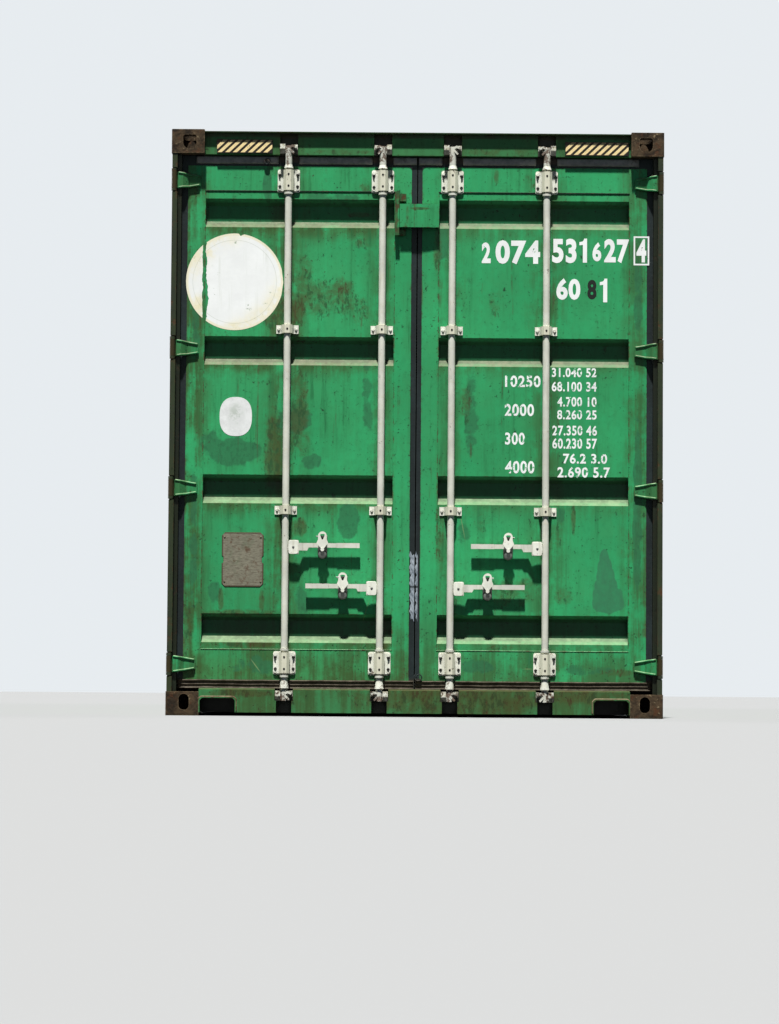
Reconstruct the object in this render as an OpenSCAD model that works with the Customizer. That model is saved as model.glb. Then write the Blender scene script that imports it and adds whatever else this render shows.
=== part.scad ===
// A 40 ft high cube freight container, in millimetres.
// The door end faces -Y, the length runs along Y and the corner castings stand on z = 0.
// The left half is drawn from its own corner: u goes inward from the side, v inward from the door
// end. The right half is the same pieces mirrored.

/* [Overall] */
// Length over the corner castings
length = 12192; // [7000:1:14000]
// Width over the corner castings
width = 2438; // [2330:1:2600]
// Height over the corner castings
height = 2896; // [2700:1:3100]

/* [Corner castings] */
// Casting size along the container
casting_l = 178; // [170:1:190]
// Casting size across the container
casting_w = 162; // [155:1:175]
// Casting height
casting_h = 118; // [114:1:124]
// Wall with the locking slot
slot_wall = 28.5; // [24:0.5:32]
// Other casting walls
casting_wall = 12; // [8:0.5:12]
// Length of the locking slot
slot_l = 124; // [118:0.5:124]
// Width of the locking slot
slot_w = 63.5; // [56:0.5:66]
// Slot centre from the end of the container
slot_from_end = 103.5; // [100:0.5:104]
// Slot centre from the side of the container
slot_from_side = 89.5; // [80:0.5:94]
// Length of the oval lashing hole
lash_l = 79.5; // [70:0.5:80]
// Width of the oval lashing hole
lash_w = 51; // [44:0.5:56]
// Width of the shield-shaped lashing hole
shield_w = 66; // [56:0.5:68]
// Height of the shield-shaped lashing hole
shield_h = 72; // [66:0.5:76]
// Lashing hole from the slotted face
lash_from_slot = 27; // [25:0.5:30]
// Radius of the casting's outer upright edge
casting_edge_r = 9; // [4:0.5:12]

/* [Frame rails] */
// How far rails, posts and sheets lie inside the castings' faces
inset = 4; // [3:0.5:6]
// How far the roof lies below that
roof_set = 2; // [0:0.5:6]
// Side of the square top rails
top_rail = 60; // [50:1:70]
// Wall of the square top rails
top_rail_t = 3; // [2:0.5:5]
// Underside of the bottom side rails above the ground
rail_z = 12; // [10:0.5:16]
// Height of the bottom side rails
rail_h = 162; // [156:1:170]
// Top flange of the bottom side rails
rail_flange = 48; // [44:1:60]
// Bottom flange of the bottom side rails
rail_foot = 30; // [24:1:40]
// Plate of the bottom side rails
rail_t = 4.5; // [3:0.5:6]
// Height of the cross members
cross_h = 122; // [110:1:122]
// Flange of the cross members
cross_flange = 45; // [35:1:60]
// Plate of the cross members
cross_t = 4; // [3:0.5:5]
// Distance between the cross members
cross_pitch = 300; // [250:5:360]
// Thickness of the plywood floor
floor_t = 28; // [24:1:30]
// Clear width of the gooseneck tunnel
tunnel_w = 1029; // [980:1:1070]
// Width of the feet along the gooseneck tunnel
tunnel_foot = 34; // [24:1:50]
// Length of the gooseneck tunnel
tunnel_l = 3315; // [3000:5:3500]
// Plate of the gooseneck tunnel
tunnel_t = 6; // [4:0.5:8]

/* [Sheets] */
// Thickness of the wall and roof sheets
sheet_t = 2; // [1.5:0.1:3]
// Depth of the side wall folds
side_depth = 36; // [24:1:38]
// Outer flat of a side wall fold
side_crest = 72; // [60:1:84]
// Inner flat of a side wall fold
side_trough = 70; // [60:1:84]
// Slope of a side wall fold along the wall
side_slope = 68; // [50:1:80]
// Depth of the front wall folds
front_depth = 45; // [30:1:50]
// Outer flat of a front wall fold
front_crest = 110; // [90:1:120]
// Inner flat of a front wall fold
front_trough = 104; // [90:1:120]
// Slope of a front wall fold along the wall
front_slope = 18; // [15:1:40]
// Depth of the roof folds
roof_depth = 20; // [12:1:26]
// Upper flat of a roof fold
roof_crest = 91; // [80:1:110]
// Lower flat of a roof fold
roof_trough = 91; // [80:1:110]
// Slope of a roof fold along the roof
roof_slope = 13.5; // [10:0.5:20]

/* [Door frame] */
// Width of the strip at the outer edge of a rear post
strip_w = 25; // [22:1:27]
// Width of a rear post
post_w = 45; // [42:1:50]
// Depth of the post face behind the door end
post_face = 38; // [36:0.5:40]
// Plate of the posts
post_t = 6; // [4:0.5:8]
// Top of the sill under the door gasket
sill_top = 137; // [130:1:145]
// How much lower the sill's front edge lies
sill_fall = 8; // [0:1:12]
// Underside of the sill above the ground
sill_z = 17; // [12:1:24]
// Underside of the header below the top of the castings
header_drop = 121; // [118:1:130]
// Header face behind the door end
header_face = 22; // [16:1:26]
// How much higher the header's front edge lies
header_rise = 4; // [0:1:8]
// Plate of the header and the sill
frame_t = 4.5; // [3:0.5:6]
// Width of the pockets at the locking bars
pocket_w = 90; // [88:1:100]
// Width of the sill's pockets below the cam keepers
low_pocket_w = 76; // [70:1:88]
// Depth of the pockets behind the door end
pocket_v = 68; // [67:1:74]
// Width of the cut-outs in the sill beside the castings
cutout_w = 182; // [150:1:200]
// Top of the cut-outs in the sill
cutout_top = 92; // [80:1:100]
// Bevel at the upper corners of the cut-outs
cutout_bevel = 12; // [0:1:20]

/* [Doors] */
// Face of the door leaf behind the door end
leaf_v = 63; // [60:0.5:66]
// Thickness of the door frame
leaf_t = 50; // [40:1:54]
// Hinge edge of the leaf from the side of the container
leaf_u = 80; // [76:1:90]
// Lower edge of the leaf
leaf_z0 = 177; // [170:1:190]
// Upper edge of the leaf below the top of the castings
leaf_drop = 171; // [165:1:185]
// Edge of the left leaf from the middle
left_gap = 29; // [26:1:34]
// Edge of the right leaf from the middle
right_gap = 24; // [20:1:28]
// Width of the hinge stile
hinge_stile = 86; // [70:1:100]
// Width of the lock stile
lock_stile = 82; // [70:1:90]
// Height of the upper door rail
upper_rail = 125; // [100:1:140]
// Height of the lower door rail
lower_rail = 150; // [120:1:160]
// Wall of the door frame tubes
leaf_wall = 3; // [2:0.5:5]
// Door panel behind the face of the door frame
panel_set = 2; // [1:0.5:4]
// Depth of the door panel's folds
panel_depth = 36; // [24:1:40]
// Height of one fold of the door panel, slopes included
panel_band = 142; // [120:1:160]
// Height of a slope of the door panel
panel_slope = 32; // [24:1:44]
// Number of folds in a door panel
panel_bands = 4; // [3:1:5]
// Lowest fold above the lower door rail
panel_low_edge = 34; // [20:1:60]
// Highest fold below the upper door rail
panel_top_edge = 39; // [20:1:60]
// Gap between a gasket lip and the frame
seal_gap = 1; // [0.5:0.1:3]
// Thickness of a gasket lip
seal_t = 8; // [5:0.5:10]

/* [Hinges] */
// Hinge pin from the side and from the door end
pin_at = 13; // [12.5:0.1:13.5]
// Radius of the hinge pin
pin_r = 7; // [5:0.5:8]
// Radius of the hinge knuckle
knuckle_r = 12.5; // [11:0.1:12.5]
// Running gap round pins and in bores
run_gap = 0.3; // [0.2:0.1:0.6]
// Height of a hinge blade at its knuckle
blade_h = 80; // [60:1:90]
// Height of a hinge blade at its tip
blade_tip_h = 45; // [30:1:60]
// Tip of a hinge blade from the side of the container
blade_reach = 141; // [120:1:160]
// Thickness of a hinge blade
blade_t = 10; // [8:0.5:10]
// Thickness of a hinge lug
lug_t = 14; // [10:1:18]
// Lowest hinge above the ground
hinge_low = 252; // [240:1:300]
// Highest hinge below the top of the castings
hinge_drop = 250; // [240:1:300]
// Places of the hinges between the lowest and the highest
hinge_share = [0, 0.362, 0.651, 1]; // [0:0.001:1]

/* [Locking gear] */
// Outer locking bars from the middle
outer_bar_x = 640; // [600:1:680]
// Inner locking bars from the middle
inner_bar_x = 173; // [165:1:200]
// Radius of a locking bar
bar_r = 17; // [14:0.5:18]
// Wall of a locking bar
bar_wall = 3.5; // [2.5:0.5:5]
// Locking bar in front of the face of the door leaf
bar_off = 28; // [26:0.5:30]
// Radius of a cam wing
cam_r = 24; // [22:0.5:26]
// Thickness of a cam wing
cam_w = 16; // [12:1:20]
// Height of a cam wing
cam_h = 34; // [24:1:40]
// Reach of a cam hook from its bar's axis
hook_reach = 40; // [36:1:42]
// Thickness of a cam hook
hook_t = 12; // [8:1:14]
// Width of a cam keeper
keeper_w = 86; // [76:1:88]
// Height of a cam keeper
keeper_h = 49; // [44:1:60]
// Front of a cam keeper behind the door end
keeper_v = 12; // [8:1:16]
// Lower edge of the bottom cam keepers
keeper_z = 76; // [60:1:84]
// Gap between a cam wing and its keeper
cam_gap = 1.5; // [1:0.5:3]
// Upper bar bracket below the top of the castings
bracket_drop = 246; // [230:1:260]
// Middle of the lower bar bracket
bracket_z = 261; // [250:1:280]
// Width of the bar brackets
bracket_w = 110; // [90:1:120]
// Height of the bar brackets
bracket_h = 116; // [90:1:120]
// Height of the bar guides
guide_h = 42; // [30:1:60]
// Places of the bar guides between the lower and the upper bracket
guide_share = [0.315, 0.69]; // [0:0.001:1]
// Plate of the brackets and the guides
bracket_t = 5; // [4:0.5:8]
// Height of the outer bars' handles
outer_handle_z = 840; // [780:1:900]
// Height of the inner bars' handles
inner_handle_z = 640; // [600:1:700]
// Length of a handle from its bar
handle_l = 366; // [320:1:400]
// Handle rivet from its bar
rivet_off = 40; // [38:0.5:46]
// Radius of a handle rivet
rivet_r = 6; // [5:0.5:8]
// Handle rivet below the arm
rivet_drop = 10; // [0:1:14]
// Height of a handle's hub plate
hub_h = 70; // [60:1:80]
// Width of a hub plate's round end
hub_w = 48; // [40:1:50]
// Thickness of a hub plate
hub_t = 7; // [5:0.5:8]
// Front of the hub plates behind the door end
hub_front = 17; // [15:0.5:20]
// Height of a handle's arm
arm_h = 22; // [16:1:26]
// Thickness of a handle's arm
arm_t = 12; // [8:0.5:14]
// Front of a handle's arm behind the door end
arm_v = 29; // [26:0.5:32]
// Length of a handle's grip
grip_l = 114; // [90:1:130]
// Handle retainer from its bar
retainer_off = 183; // [170:1:220]
// Width of a handle retainer
retainer_w = 46; // [36:1:54]
// Depth of a handle retainer below its handle
retainer_drop = 66; // [50:1:80]
// Front of a catch behind the door end
catch_v = 8; // [6:0.5:10]
// Thickness of a catch
catch_t = 5; // [3:0.5:5]
// Width of a catch at its top
catch_w = 43; // [36:1:48]
// Width of a catch over the handle
catch_wide = 56; // [46:1:60]
// Pin of a catch above its handle
catch_rise = 43; // [42:1:50]
// Pin of a catch behind the door end
catch_pin_v = 22; // [21:0.5:24]
// Radius of a catch's pin
catch_pin_r = 3.5; // [3:0.5:4]
// Lock box's left and right edges from the middle
lock_box_x = [-89, 107]; // [-110:1:120]
// Bend in the lock box's face from the middle
lock_box_bend = 38; // [0:1:80]
// Height of the lock box
lock_box_h = 116; // [90:1:140]
// Top of the lock box below the top of the castings
lock_box_drop = 361; // [340:1:400]
// Front of the lock box behind the door end
lock_box_v = 20; // [14:1:26]
// Wall of the lock box
lock_box_wall = 4; // [3:0.5:6]
// Height of a ventilator
vent_h = 150; // [100:1:200]
// Width of a ventilator
vent_w = 60; // [40:1:66]
// Ventilators below the top side rails
vent_drop = 110; // [60:1:200]

/* [Hidden] */
$fn = 48;

green = [0.20, 0.55, 0.36];
dark_green = [0.16, 0.42, 0.24];
rust = [0.41, 0.30, 0.23];
post_grey = [0.34, 0.28, 0.24];
cream = [0.84, 0.83, 0.76];
rubber = [0.14, 0.16, 0.19];
ply = [0.55, 0.42, 0.28];

half_w = width / 2;
half_l = length / 2;
past = 1;

// Points and plates

// A unit vector to the left of the way from a to b
function left_of(a, b) = let (d = (b - a) / norm(b - a)) [-d[1], d[0]];

// The step from corner i of a path to the same corner of the path t to its left
function corner_step(path, i, t) =
    let (last = len(path) - 1,
         before = left_of(path[max(i - 1, 0)], path[max(i, 1)]),
         after = left_of(path[min(i, last - 1)], path[min(i + 1, last)]))
    (before + after) * t / (1 + before * after);

// The section of a folded plate: the path and its copy t to the left
module folded(path, t) {
    last = len(path) - 1;
    polygon(concat(path, [for (i = [last:-1:0]) path[i] + corner_step(path, i, t)]));
}

// A row of folds from start to end, as [place, depth] points, centred with equal flats at the ends
function folds(start, end, crest, slope, trough, depth) =
    let (pitch = crest + 2 * slope + trough,
         count = floor((end - start - crest) / pitch),
         first = start + (end - start - count * pitch + crest) / 2)
    concat([[start, 0]],
           [for (i = [0:count - 1], step = [[0, 0], [slope, 1], [slope + trough, 1],
                                            [2 * slope + trough, 0]])
               [first + i * pitch + step[0], step[1] * depth]],
           [[end, 0]]);

// Extrude a section drawn in y and z along x
module along_x(l) { rotate([90, 0, 90]) linear_extrude(l) children(); }

// Extrude a section drawn in x and z along y
module along_y(l) { translate([0, l, 0]) rotate([90, 0, 0]) linear_extrude(l) children(); }

// A slot of length l along x and width w
module slot(l, w) {
    square([l - w, w], center = true);
    for (side = [-1, 1]) translate([side * (l - w) / 2, 0]) circle(d = w);
}

// The corner where the left half is drawn from, and its mirror images
module left_rear() { translate([-half_w, -half_l, 0]) children(); }
module right_rear() { mirror([1, 0, 0]) left_rear() children(); }
module left_front() { mirror([0, 1, 0]) left_rear() children(); }
module right_front() { mirror([1, 0, 0]) left_front() children(); }

// Corner castings

// A shield-shaped hole: flat at the slotted face, round at the far end
module shield_hole() {
    r = shield_w / 2;
    corner_r = 12;
    translate([0, shield_h - r]) circle(r);
    translate([-r + corner_r, 0]) square([shield_w - 2 * corner_r, shield_h - r]);
    translate([-r, corner_r]) square([shield_w, shield_h - r - corner_r]);
    for (side = [-1, 1]) translate([side * (r - corner_r), corner_r]) circle(corner_r);
}

// An upright oval hole standing on the x axis
module oval_hole() { translate([0, lash_l / 2]) rotate(90) slot(lash_l, lash_w); }

// One casting with its slotted face down; the end has a shield hole or the side has
module casting(shield_at_end) {
    color(rust) difference() {
        linear_extrude(casting_h) difference() {
            square([casting_w, casting_l]);
            difference() {
                square(casting_edge_r);
                translate([casting_edge_r, casting_edge_r]) circle(casting_edge_r);
            }
        }
        translate([casting_wall, casting_wall, slot_wall])
            cube([casting_w, casting_l, casting_h] - [2 * casting_wall, 2 * casting_wall,
                                                      slot_wall + casting_wall]);
        translate([slot_from_side, slot_from_end, -past])
            linear_extrude(slot_wall + 2 * past) rotate(90) slot(slot_l, slot_w);
        translate([slot_from_side, -past, lash_from_slot]) along_y(casting_wall + 2 * past)
            if (shield_at_end) shield_hole(); else oval_hole();
        translate([-past, slot_from_end, lash_from_slot]) along_x(casting_wall + 2 * past)
            if (shield_at_end) oval_hole(); else shield_hole();
    }
}

module top_casting() { translate([0, 0, height]) mirror([0, 0, 1]) casting(true); }
module bottom_casting() { casting(false); }

module rear_castings_top() {
    left_rear() top_casting();
    right_rear() top_casting();
}

module rear_castings_bottom() {
    left_rear() bottom_casting();
    right_rear() bottom_casting();
}

module front_castings_top() {
    left_front() top_casting();
    right_front() top_casting();
}

module front_castings_bottom() {
    left_front() bottom_casting();
    right_front() bottom_casting();
}

// Underframe

rail_top = rail_z + rail_h;
floor_top = rail_top - rail_t;
floor_bottom = floor_top - floor_t;
rail_l = length - 2 * casting_l;
sill_depth = casting_l;
front_sill_depth = 80;
floor_half = half_w - inset - rail_flange;
cross_half = half_w - inset - rail_t;
cross_top = floor_bottom;
tunnel_top = floor_bottom - tunnel_t;
tunnel_start = half_l - tunnel_l;
tunnel_half = tunnel_w / 2 + tunnel_t;
foot_half = tunnel_w / 2 + tunnel_foot;
post_depth = casting_l;

module floor_boards() {
    color(ply) translate([-floor_half, -half_l + sill_depth, floor_bottom])
        cube([2 * floor_half, length - sill_depth - front_sill_depth, floor_t]);
}

// A cross member along x with its web at y = 0
module cross_member(l) {
    color(dark_green) along_x(l)
        folded([[cross_flange, cross_top], [0, cross_top], [0, cross_top - cross_h],
                [cross_flange, cross_top - cross_h]], cross_t);
}

module cross_members() {
    first = -half_l + sill_depth + cross_pitch / 2;
    for (y = [first:cross_pitch:tunnel_start - cross_flange - past])
        translate([-cross_half, y, 0]) cross_member(2 * cross_half);
}

module tunnel_outriggers() {
    l = cross_half - tunnel_half;
    last = half_l - casting_l - 2 * cross_flange;
    for (y = [last:-cross_pitch:tunnel_start])
        translate([-cross_half, y, 0]) cross_member(l);
}

module tunnel_outriggers_left() { tunnel_outriggers(); }
module tunnel_outriggers_right() { mirror([1, 0, 0]) tunnel_outriggers(); }

module gooseneck_tunnel() {
    side = tunnel_w / 2;
    color(dark_green) translate([0, tunnel_start, 0]) along_y(tunnel_l - inset)
        folded([[-side - tunnel_foot, rail_z], [-side, rail_z], [-side, tunnel_top],
                [side, tunnel_top], [side, rail_z], [side + tunnel_foot, rail_z]], tunnel_t);
}

module bottom_side_rail() {
    color(dark_green) translate([0, casting_l, 0]) along_y(rail_l)
        folded([[inset + rail_flange, rail_top], [inset, rail_top], [inset, rail_z],
                [inset + rail_foot, rail_z]], rail_t);
}

module bottom_side_rail_left() { left_rear() bottom_side_rail(); }
module bottom_side_rail_right() { right_rear() bottom_side_rail(); }

module front_sill() {
    span = width - 2 * casting_w;
    color(dark_green) difference() {
        translate([-span / 2, half_l, 0]) mirror([0, 1, 0]) along_x(span)
            folded([[front_sill_depth, floor_top], [inset, floor_top], [inset, rail_z],
                    [inset + rail_foot, rail_z]], rail_t);
        translate([-tunnel_half, half_l - tunnel_l, -past])
            cube([2 * tunnel_half, tunnel_l + past, floor_bottom + past]);
        translate([-foot_half, half_l - tunnel_l, -past])
            cube([2 * foot_half, tunnel_l + past, rail_z + tunnel_t + past]);
    }
}

// Walls and roof

rail_over = height - inset - roof_set;
rail_under = rail_over - top_rail;
wall_l = length - 2 * casting_l;

module square_tube(side, wall) {
    difference() {
        square(side);
        translate([wall, wall]) square(side - 2 * wall);
    }
}

module top_side_rail() {
    color(dark_green) translate([inset, casting_l, rail_under]) along_y(rail_l)
        square_tube(top_rail, top_rail_t);
}

module top_side_rail_left() { left_rear() top_side_rail(); }
module top_side_rail_right() { right_rear() top_side_rail(); }

module side_wall() {
    path = folds(casting_l, casting_l + wall_l, side_crest, side_slope, side_trough, side_depth);
    color(green) translate([inset + sheet_t, 0, rail_top]) linear_extrude(rail_under - rail_top)
        mirror([1, -1]) folded(path, sheet_t);
}

module side_wall_left() { left_rear() side_wall(); }
module side_wall_right() { right_rear() side_wall(); }

front_post_w = 106;
front_post_lip = 56;

module front_post() {
    color(dark_green) translate([0, 0, casting_h]) linear_extrude(height - 2 * casting_h)
        folded([[inset + front_post_w, inset + front_post_lip], [inset + front_post_w, inset],
                [inset, inset], [inset, casting_l]], -post_t);
}

module front_post_left() { left_front() front_post(); }
module front_post_right() { right_front() front_post(); }

module front_wall() {
    half_span = half_w - inset - front_post_w;
    path = folds(-half_span, half_span, front_crest, front_slope, front_trough, front_depth);
    color(green) difference() {
        translate([0, half_l - inset - sheet_t, floor_top])
            linear_extrude(rail_under - floor_top) mirror([0, 1]) folded(path, sheet_t);
        for (side = [0, 1]) mirror([side, 0, 0])
            translate([-half_w, half_l - casting_l, height - casting_h])
                cube([casting_w, casting_l, casting_h]);
    }
}

module front_top_rail() {
    span = width - 2 * casting_w;
    color(dark_green) translate([-span / 2, half_l, 0]) mirror([0, 1, 0]) {
        translate([0, inset, rail_under]) along_x(span) square_tube(top_rail, top_rail_t);
        translate([0, inset, rail_over - frame_t]) cube([span, casting_l - inset, frame_t]);
    }
}

module roof_panel() {
    half_span = half_w - inset - top_rail;
    path = folds(-half_l + casting_l, half_l - casting_l, roof_crest, roof_slope, roof_trough,
                 roof_depth);
    color(green) translate([-half_span, 0, rail_over - sheet_t]) along_x(2 * half_span)
        folded([for (p = path) [p[0], -p[1]]], sheet_t);
}

// Rear posts, header and sill

blade_play = 1;
pin_end = 3;
strip_play = 2;
hinge_room = blade_h + 2 * (blade_play + lug_t + pin_end + strip_play);
hinge_z = [for (share = hinge_share) hinge_low + share * (height - hinge_drop - hinge_low)];

// The post's closed section behind the gasket line, with the outer strip in front of it
module post_section() {
    difference() {
        translate([inset, post_face]) square([post_w, post_depth - post_face]);
        translate([inset + post_t, post_face + post_t])
            square([post_w - 2 * post_t, post_depth - post_face - 2 * post_t]);
    }
}

module strip_section() {
    folded([[inset, post_face], [inset, inset], [inset + strip_w, inset],
            [inset + strip_w, post_face]], post_t);
}

module rear_post() {
    color(post_grey) {
        translate([0, 0, casting_h]) linear_extrude(height - 2 * casting_h) post_section();
        difference() {
            translate([0, 0, casting_h]) linear_extrude(height - 2 * casting_h) strip_section();
            for (z = hinge_z) translate([0, 0, z - hinge_room / 2])
                cube([post_w, post_face, hinge_room]);
        }
    }
}

module rear_post_left() { left_rear() rear_post(); }
module rear_post_right() { right_rear() rear_post(); }

bar_v = leaf_v - bar_off;
header_z = height - header_drop;
header_back = leaf_v + leaf_t + seal_gap + frame_t;
bar_xs = [-outer_bar_x, -inner_bar_x, inner_bar_x, outer_bar_x];

// The lining of a pocket at a locking bar, from the rail's face to its floor
module pocket_lining(w, face, z, h) {
    outer_w = w + 2 * frame_t;
    difference() {
        translate([-outer_w / 2, face, z]) cube([outer_w, pocket_v + frame_t - face, h]);
        translate([-w / 2, face - past, z - past]) cube([w, pocket_v + past - face, h + 2 * past]);
    }
}

module pocket_cut(w, z, h) { translate([-w / 2, -past, z]) cube([w, pocket_v + past, h]); }

module door_header() {
    span = width - 2 * casting_w;
    top = rail_over - frame_t;
    face_z = header_z + header_rise;
    color(dark_green) translate([0, -half_l, 0]) {
        difference() {
            translate([-span / 2, 0, 0]) along_x(span) {
                difference() {
                    polygon([[header_face, face_z], [leaf_v, header_z], [header_back, header_z],
                             [header_back, top], [header_face, top]]);
                    polygon([[header_face + frame_t, face_z + frame_t],
                             [leaf_v, header_z + frame_t],
                             [header_back - frame_t, header_z + frame_t],
                             [header_back - frame_t, top - frame_t],
                             [header_face + frame_t, top - frame_t]]);
                }
            }
            for (x = bar_xs) translate([x, 0, 0])
                pocket_cut(pocket_w, header_z - past, top - header_z + past);
        }
        for (x = bar_xs) translate([x, 0, 0])
            pocket_lining(pocket_w, header_face, face_z, top - face_z);
        translate([-span / 2, inset, top]) cube([span, casting_l - inset, frame_t]);
    }
}

// The sill's face, its sloping top, the seal step and the threshold
module sill_section() {
    threshold_drop = 3;
    threshold = floor_top - threshold_drop;
    folded([[post_face, sill_z], [inset, sill_z], [inset, sill_top - sill_fall],
            [leaf_v, sill_top], [header_back, sill_top], [header_back, threshold],
            [sill_depth, threshold], [sill_depth, sill_z]], -frame_t);
}

// The outline of a cut-out in the sill, standing on the sill's underside
module cutout_outline(w, h) {
    polygon([[-w / 2, -past], [w / 2, -past], [w / 2, h - cutout_bevel],
             [w / 2 - cutout_bevel, h], [-w / 2 + cutout_bevel, h], [-w / 2, h - cutout_bevel]]);
}

// The trim round a cut-out, standing a little proud of the sill's face
module cutout_trim(h) {
    proud = 3;
    translate([0, inset - proud, 0]) along_y(post_face - inset + proud) difference() {
        cutout_outline(cutout_w, h);
        cutout_outline(cutout_w - 2 * frame_t, h - frame_t);
        translate([-cutout_w, -2 * past]) square([2 * cutout_w, 2 * past]);
    }
}

module door_sill() {
    span = width - 2 * casting_w;
    edge = sill_top - sill_fall;
    cutout_x = (span - cutout_w) / 2 - run_gap;
    shelf = keeper_z - run_gap;
    color(dark_green) translate([0, -half_l, 0]) {
        difference() {
            translate([-span / 2, 0, 0]) along_x(span) sill_section();
            for (x = bar_xs) translate([x, 0, 0]) {
                pocket_cut(low_pocket_w, sill_z - past, sill_top);
                pocket_cut(pocket_w, shelf, sill_top);
            }
            for (side = [-1, 1]) translate([side * cutout_x, -past, sill_z])
                along_y(post_face + 2 * past) cutout_outline(cutout_w, cutout_top - sill_z);
        }
        for (x = bar_xs) translate([x, 0, 0]) {
            pocket_lining(low_pocket_w, inset + frame_t, sill_z, shelf - sill_z);
            pocket_lining(pocket_w, inset + frame_t, shelf, edge - shelf);
        }
        for (side = [-1, 1]) translate([side * cutout_x, 0, sill_z])
            cutout_trim(cutout_top - sill_z);
    }
}

// Cam keepers

// The sides that the handles and the cam hooks of the four bars point to
handle_sides = [1, -1, 1, -1];

// A keeper: a block with an upright bore round the cam, a mouth towards the door end and, on the
// side of the cam hook, room for the hook
module keeper(side) {
    mouth = bar_r + 1;
    hook_back = bar_v - bar_r + hook_t + 2;
    color(cream) difference() {
        translate([-keeper_w / 2, keeper_v, 0]) cube([keeper_w, pocket_v - keeper_v, keeper_h]);
        translate([0, bar_v, -past]) cylinder(r = cam_r + cam_gap, h = keeper_h + 2 * past);
        translate([-mouth, 0, -past]) cube([2 * mouth, bar_v, keeper_h + 2 * past]);
        translate([side > 0 ? 0 : -keeper_w, 0, -past])
            cube([keeper_w, hook_back, keeper_h + 2 * past]);
    }
}

module keepers(z) {
    for (i = [0:len(bar_xs) - 1]) translate([bar_xs[i], -half_l, z]) keeper(handle_sides[i]);
}

keeper_top_z = header_z + header_rise;

module cam_keepers_top() { keepers(keeper_top_z); }
module cam_keepers_bottom() { keepers(keeper_z); }

// Hinges

// A pair of lugs with the pin through them
module hinge_lugs_at(z) {
    gap = blade_h + 2 * blade_play;
    for (lug_z = [z - gap / 2 - lug_t, z + gap / 2]) translate([0, 0, lug_z])
        linear_extrude(lug_t) {
            translate([pin_at, pin_at]) circle(knuckle_r);
            translate([inset, pin_at]) square([pin_at + knuckle_r - inset, post_face - pin_at]);
        }
    translate([pin_at, pin_at, z - gap / 2 - lug_t - pin_end])
        cylinder(r = pin_r, h = gap + 2 * (lug_t + pin_end));
}

module hinge_lugs() { color(post_grey) for (z = hinge_z) hinge_lugs_at(z); }
module hinge_lugs_left() { left_rear() hinge_lugs(); }
module hinge_lugs_right() { right_rear() hinge_lugs(); }

// The blade in plan: the knuckle, the arm in front of the post and the pad on the stile
module blade_plan() {
    blade_v = post_face - 2;
    blade_u = inset + post_w + 7;
    translate([pin_at, pin_at]) circle(knuckle_r);
    polygon([[pin_at + knuckle_r * 0.9, pin_at], [pin_at + knuckle_r + 6, blade_v - blade_t],
             [blade_u, blade_v - blade_t], [leaf_u + 6, leaf_v - blade_t],
             [blade_reach, leaf_v - blade_t], [blade_reach, leaf_v], [leaf_u, leaf_v],
             [blade_u - 4, blade_v], [pin_at + 5, blade_v], [pin_at - 3, pin_at + knuckle_r * 0.5]]);
}

module hinge_blade(z) {
    taper_u = 40;
    reach = blade_reach + past;
    translate([0, 0, z]) difference() {
        intersection() {
            translate([0, 0, -blade_h / 2]) linear_extrude(blade_h) blade_plan();
            along_y(leaf_v + past)
                polygon([[-past, -blade_h / 2], [taper_u, -blade_h / 2],
                         [reach, -blade_tip_h / 2], [reach, blade_tip_h / 2],
                         [taper_u, blade_h / 2], [-past, blade_h / 2]]);
        }
        translate([pin_at, pin_at, -blade_h]) cylinder(r = pin_r + run_gap, h = 2 * blade_h);
    }
}

module hinge_blades() { color(green) for (z = hinge_z) hinge_blade(z); }
module left_hinge_blades() { left_rear() hinge_blades(); }
module right_hinge_blades() { right_rear() hinge_blades(); }

// Door leaves

leaf_z1 = height - leaf_drop;
leaf_back = leaf_v + leaf_t;
panel_v = leaf_v + panel_set;
panel_z0 = leaf_z0 + lower_rail;
panel_z1 = leaf_z1 - upper_rail;

// A door stile: an upright tube, open at its ends
module stile(u, w) {
    h = leaf_z1 - leaf_z0;
    translate([u, leaf_v, leaf_z0]) difference() {
        cube([w, leaf_t, h]);
        translate([leaf_wall, leaf_wall, -past])
            cube([w - 2 * leaf_wall, leaf_t - 2 * leaf_wall, h + 2 * past]);
    }
}

// A door rail: a channel with its web outwards
module door_rail(u, l, z, h) {
    translate([u, 0, 0]) along_x(l)
        folded([[leaf_back, z], [leaf_v, z], [leaf_v, z + h], [leaf_back, z + h]], -leaf_wall);
}

module door_frame(gap) {
    lock_u = half_w - gap - lock_stile;
    inner_u = leaf_u + hinge_stile;
    color(green) {
        stile(leaf_u, hinge_stile);
        stile(lock_u, lock_stile);
        door_rail(inner_u, lock_u - inner_u, leaf_z0, lower_rail);
        door_rail(inner_u, lock_u - inner_u, panel_z1, upper_rail);
    }
}

// The door sheet: flat, with level folds pressed inwards
module door_panel(gap) {
    inner_u = leaf_u + hinge_stile;
    lock_u = half_w - gap - lock_stile;
    first = panel_z0 + panel_low_edge;
    last = panel_z1 - panel_top_edge - panel_band;
    pitch = (last - first) / (panel_bands - 1);
    fold = [[0, 0], [panel_slope, 1], [panel_band - panel_slope, 1], [panel_band, 0]];
    path = concat([[panel_v, panel_z0]],
                  [for (i = [0:panel_bands - 1], step = fold)
                      [panel_v + step[1] * panel_depth, first + i * pitch + step[0]]],
                  [[panel_v, panel_z1]]);
    color(green) translate([inner_u, 0, 0]) along_x(lock_u - inner_u) folded(path, -sheet_t);
}

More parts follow.
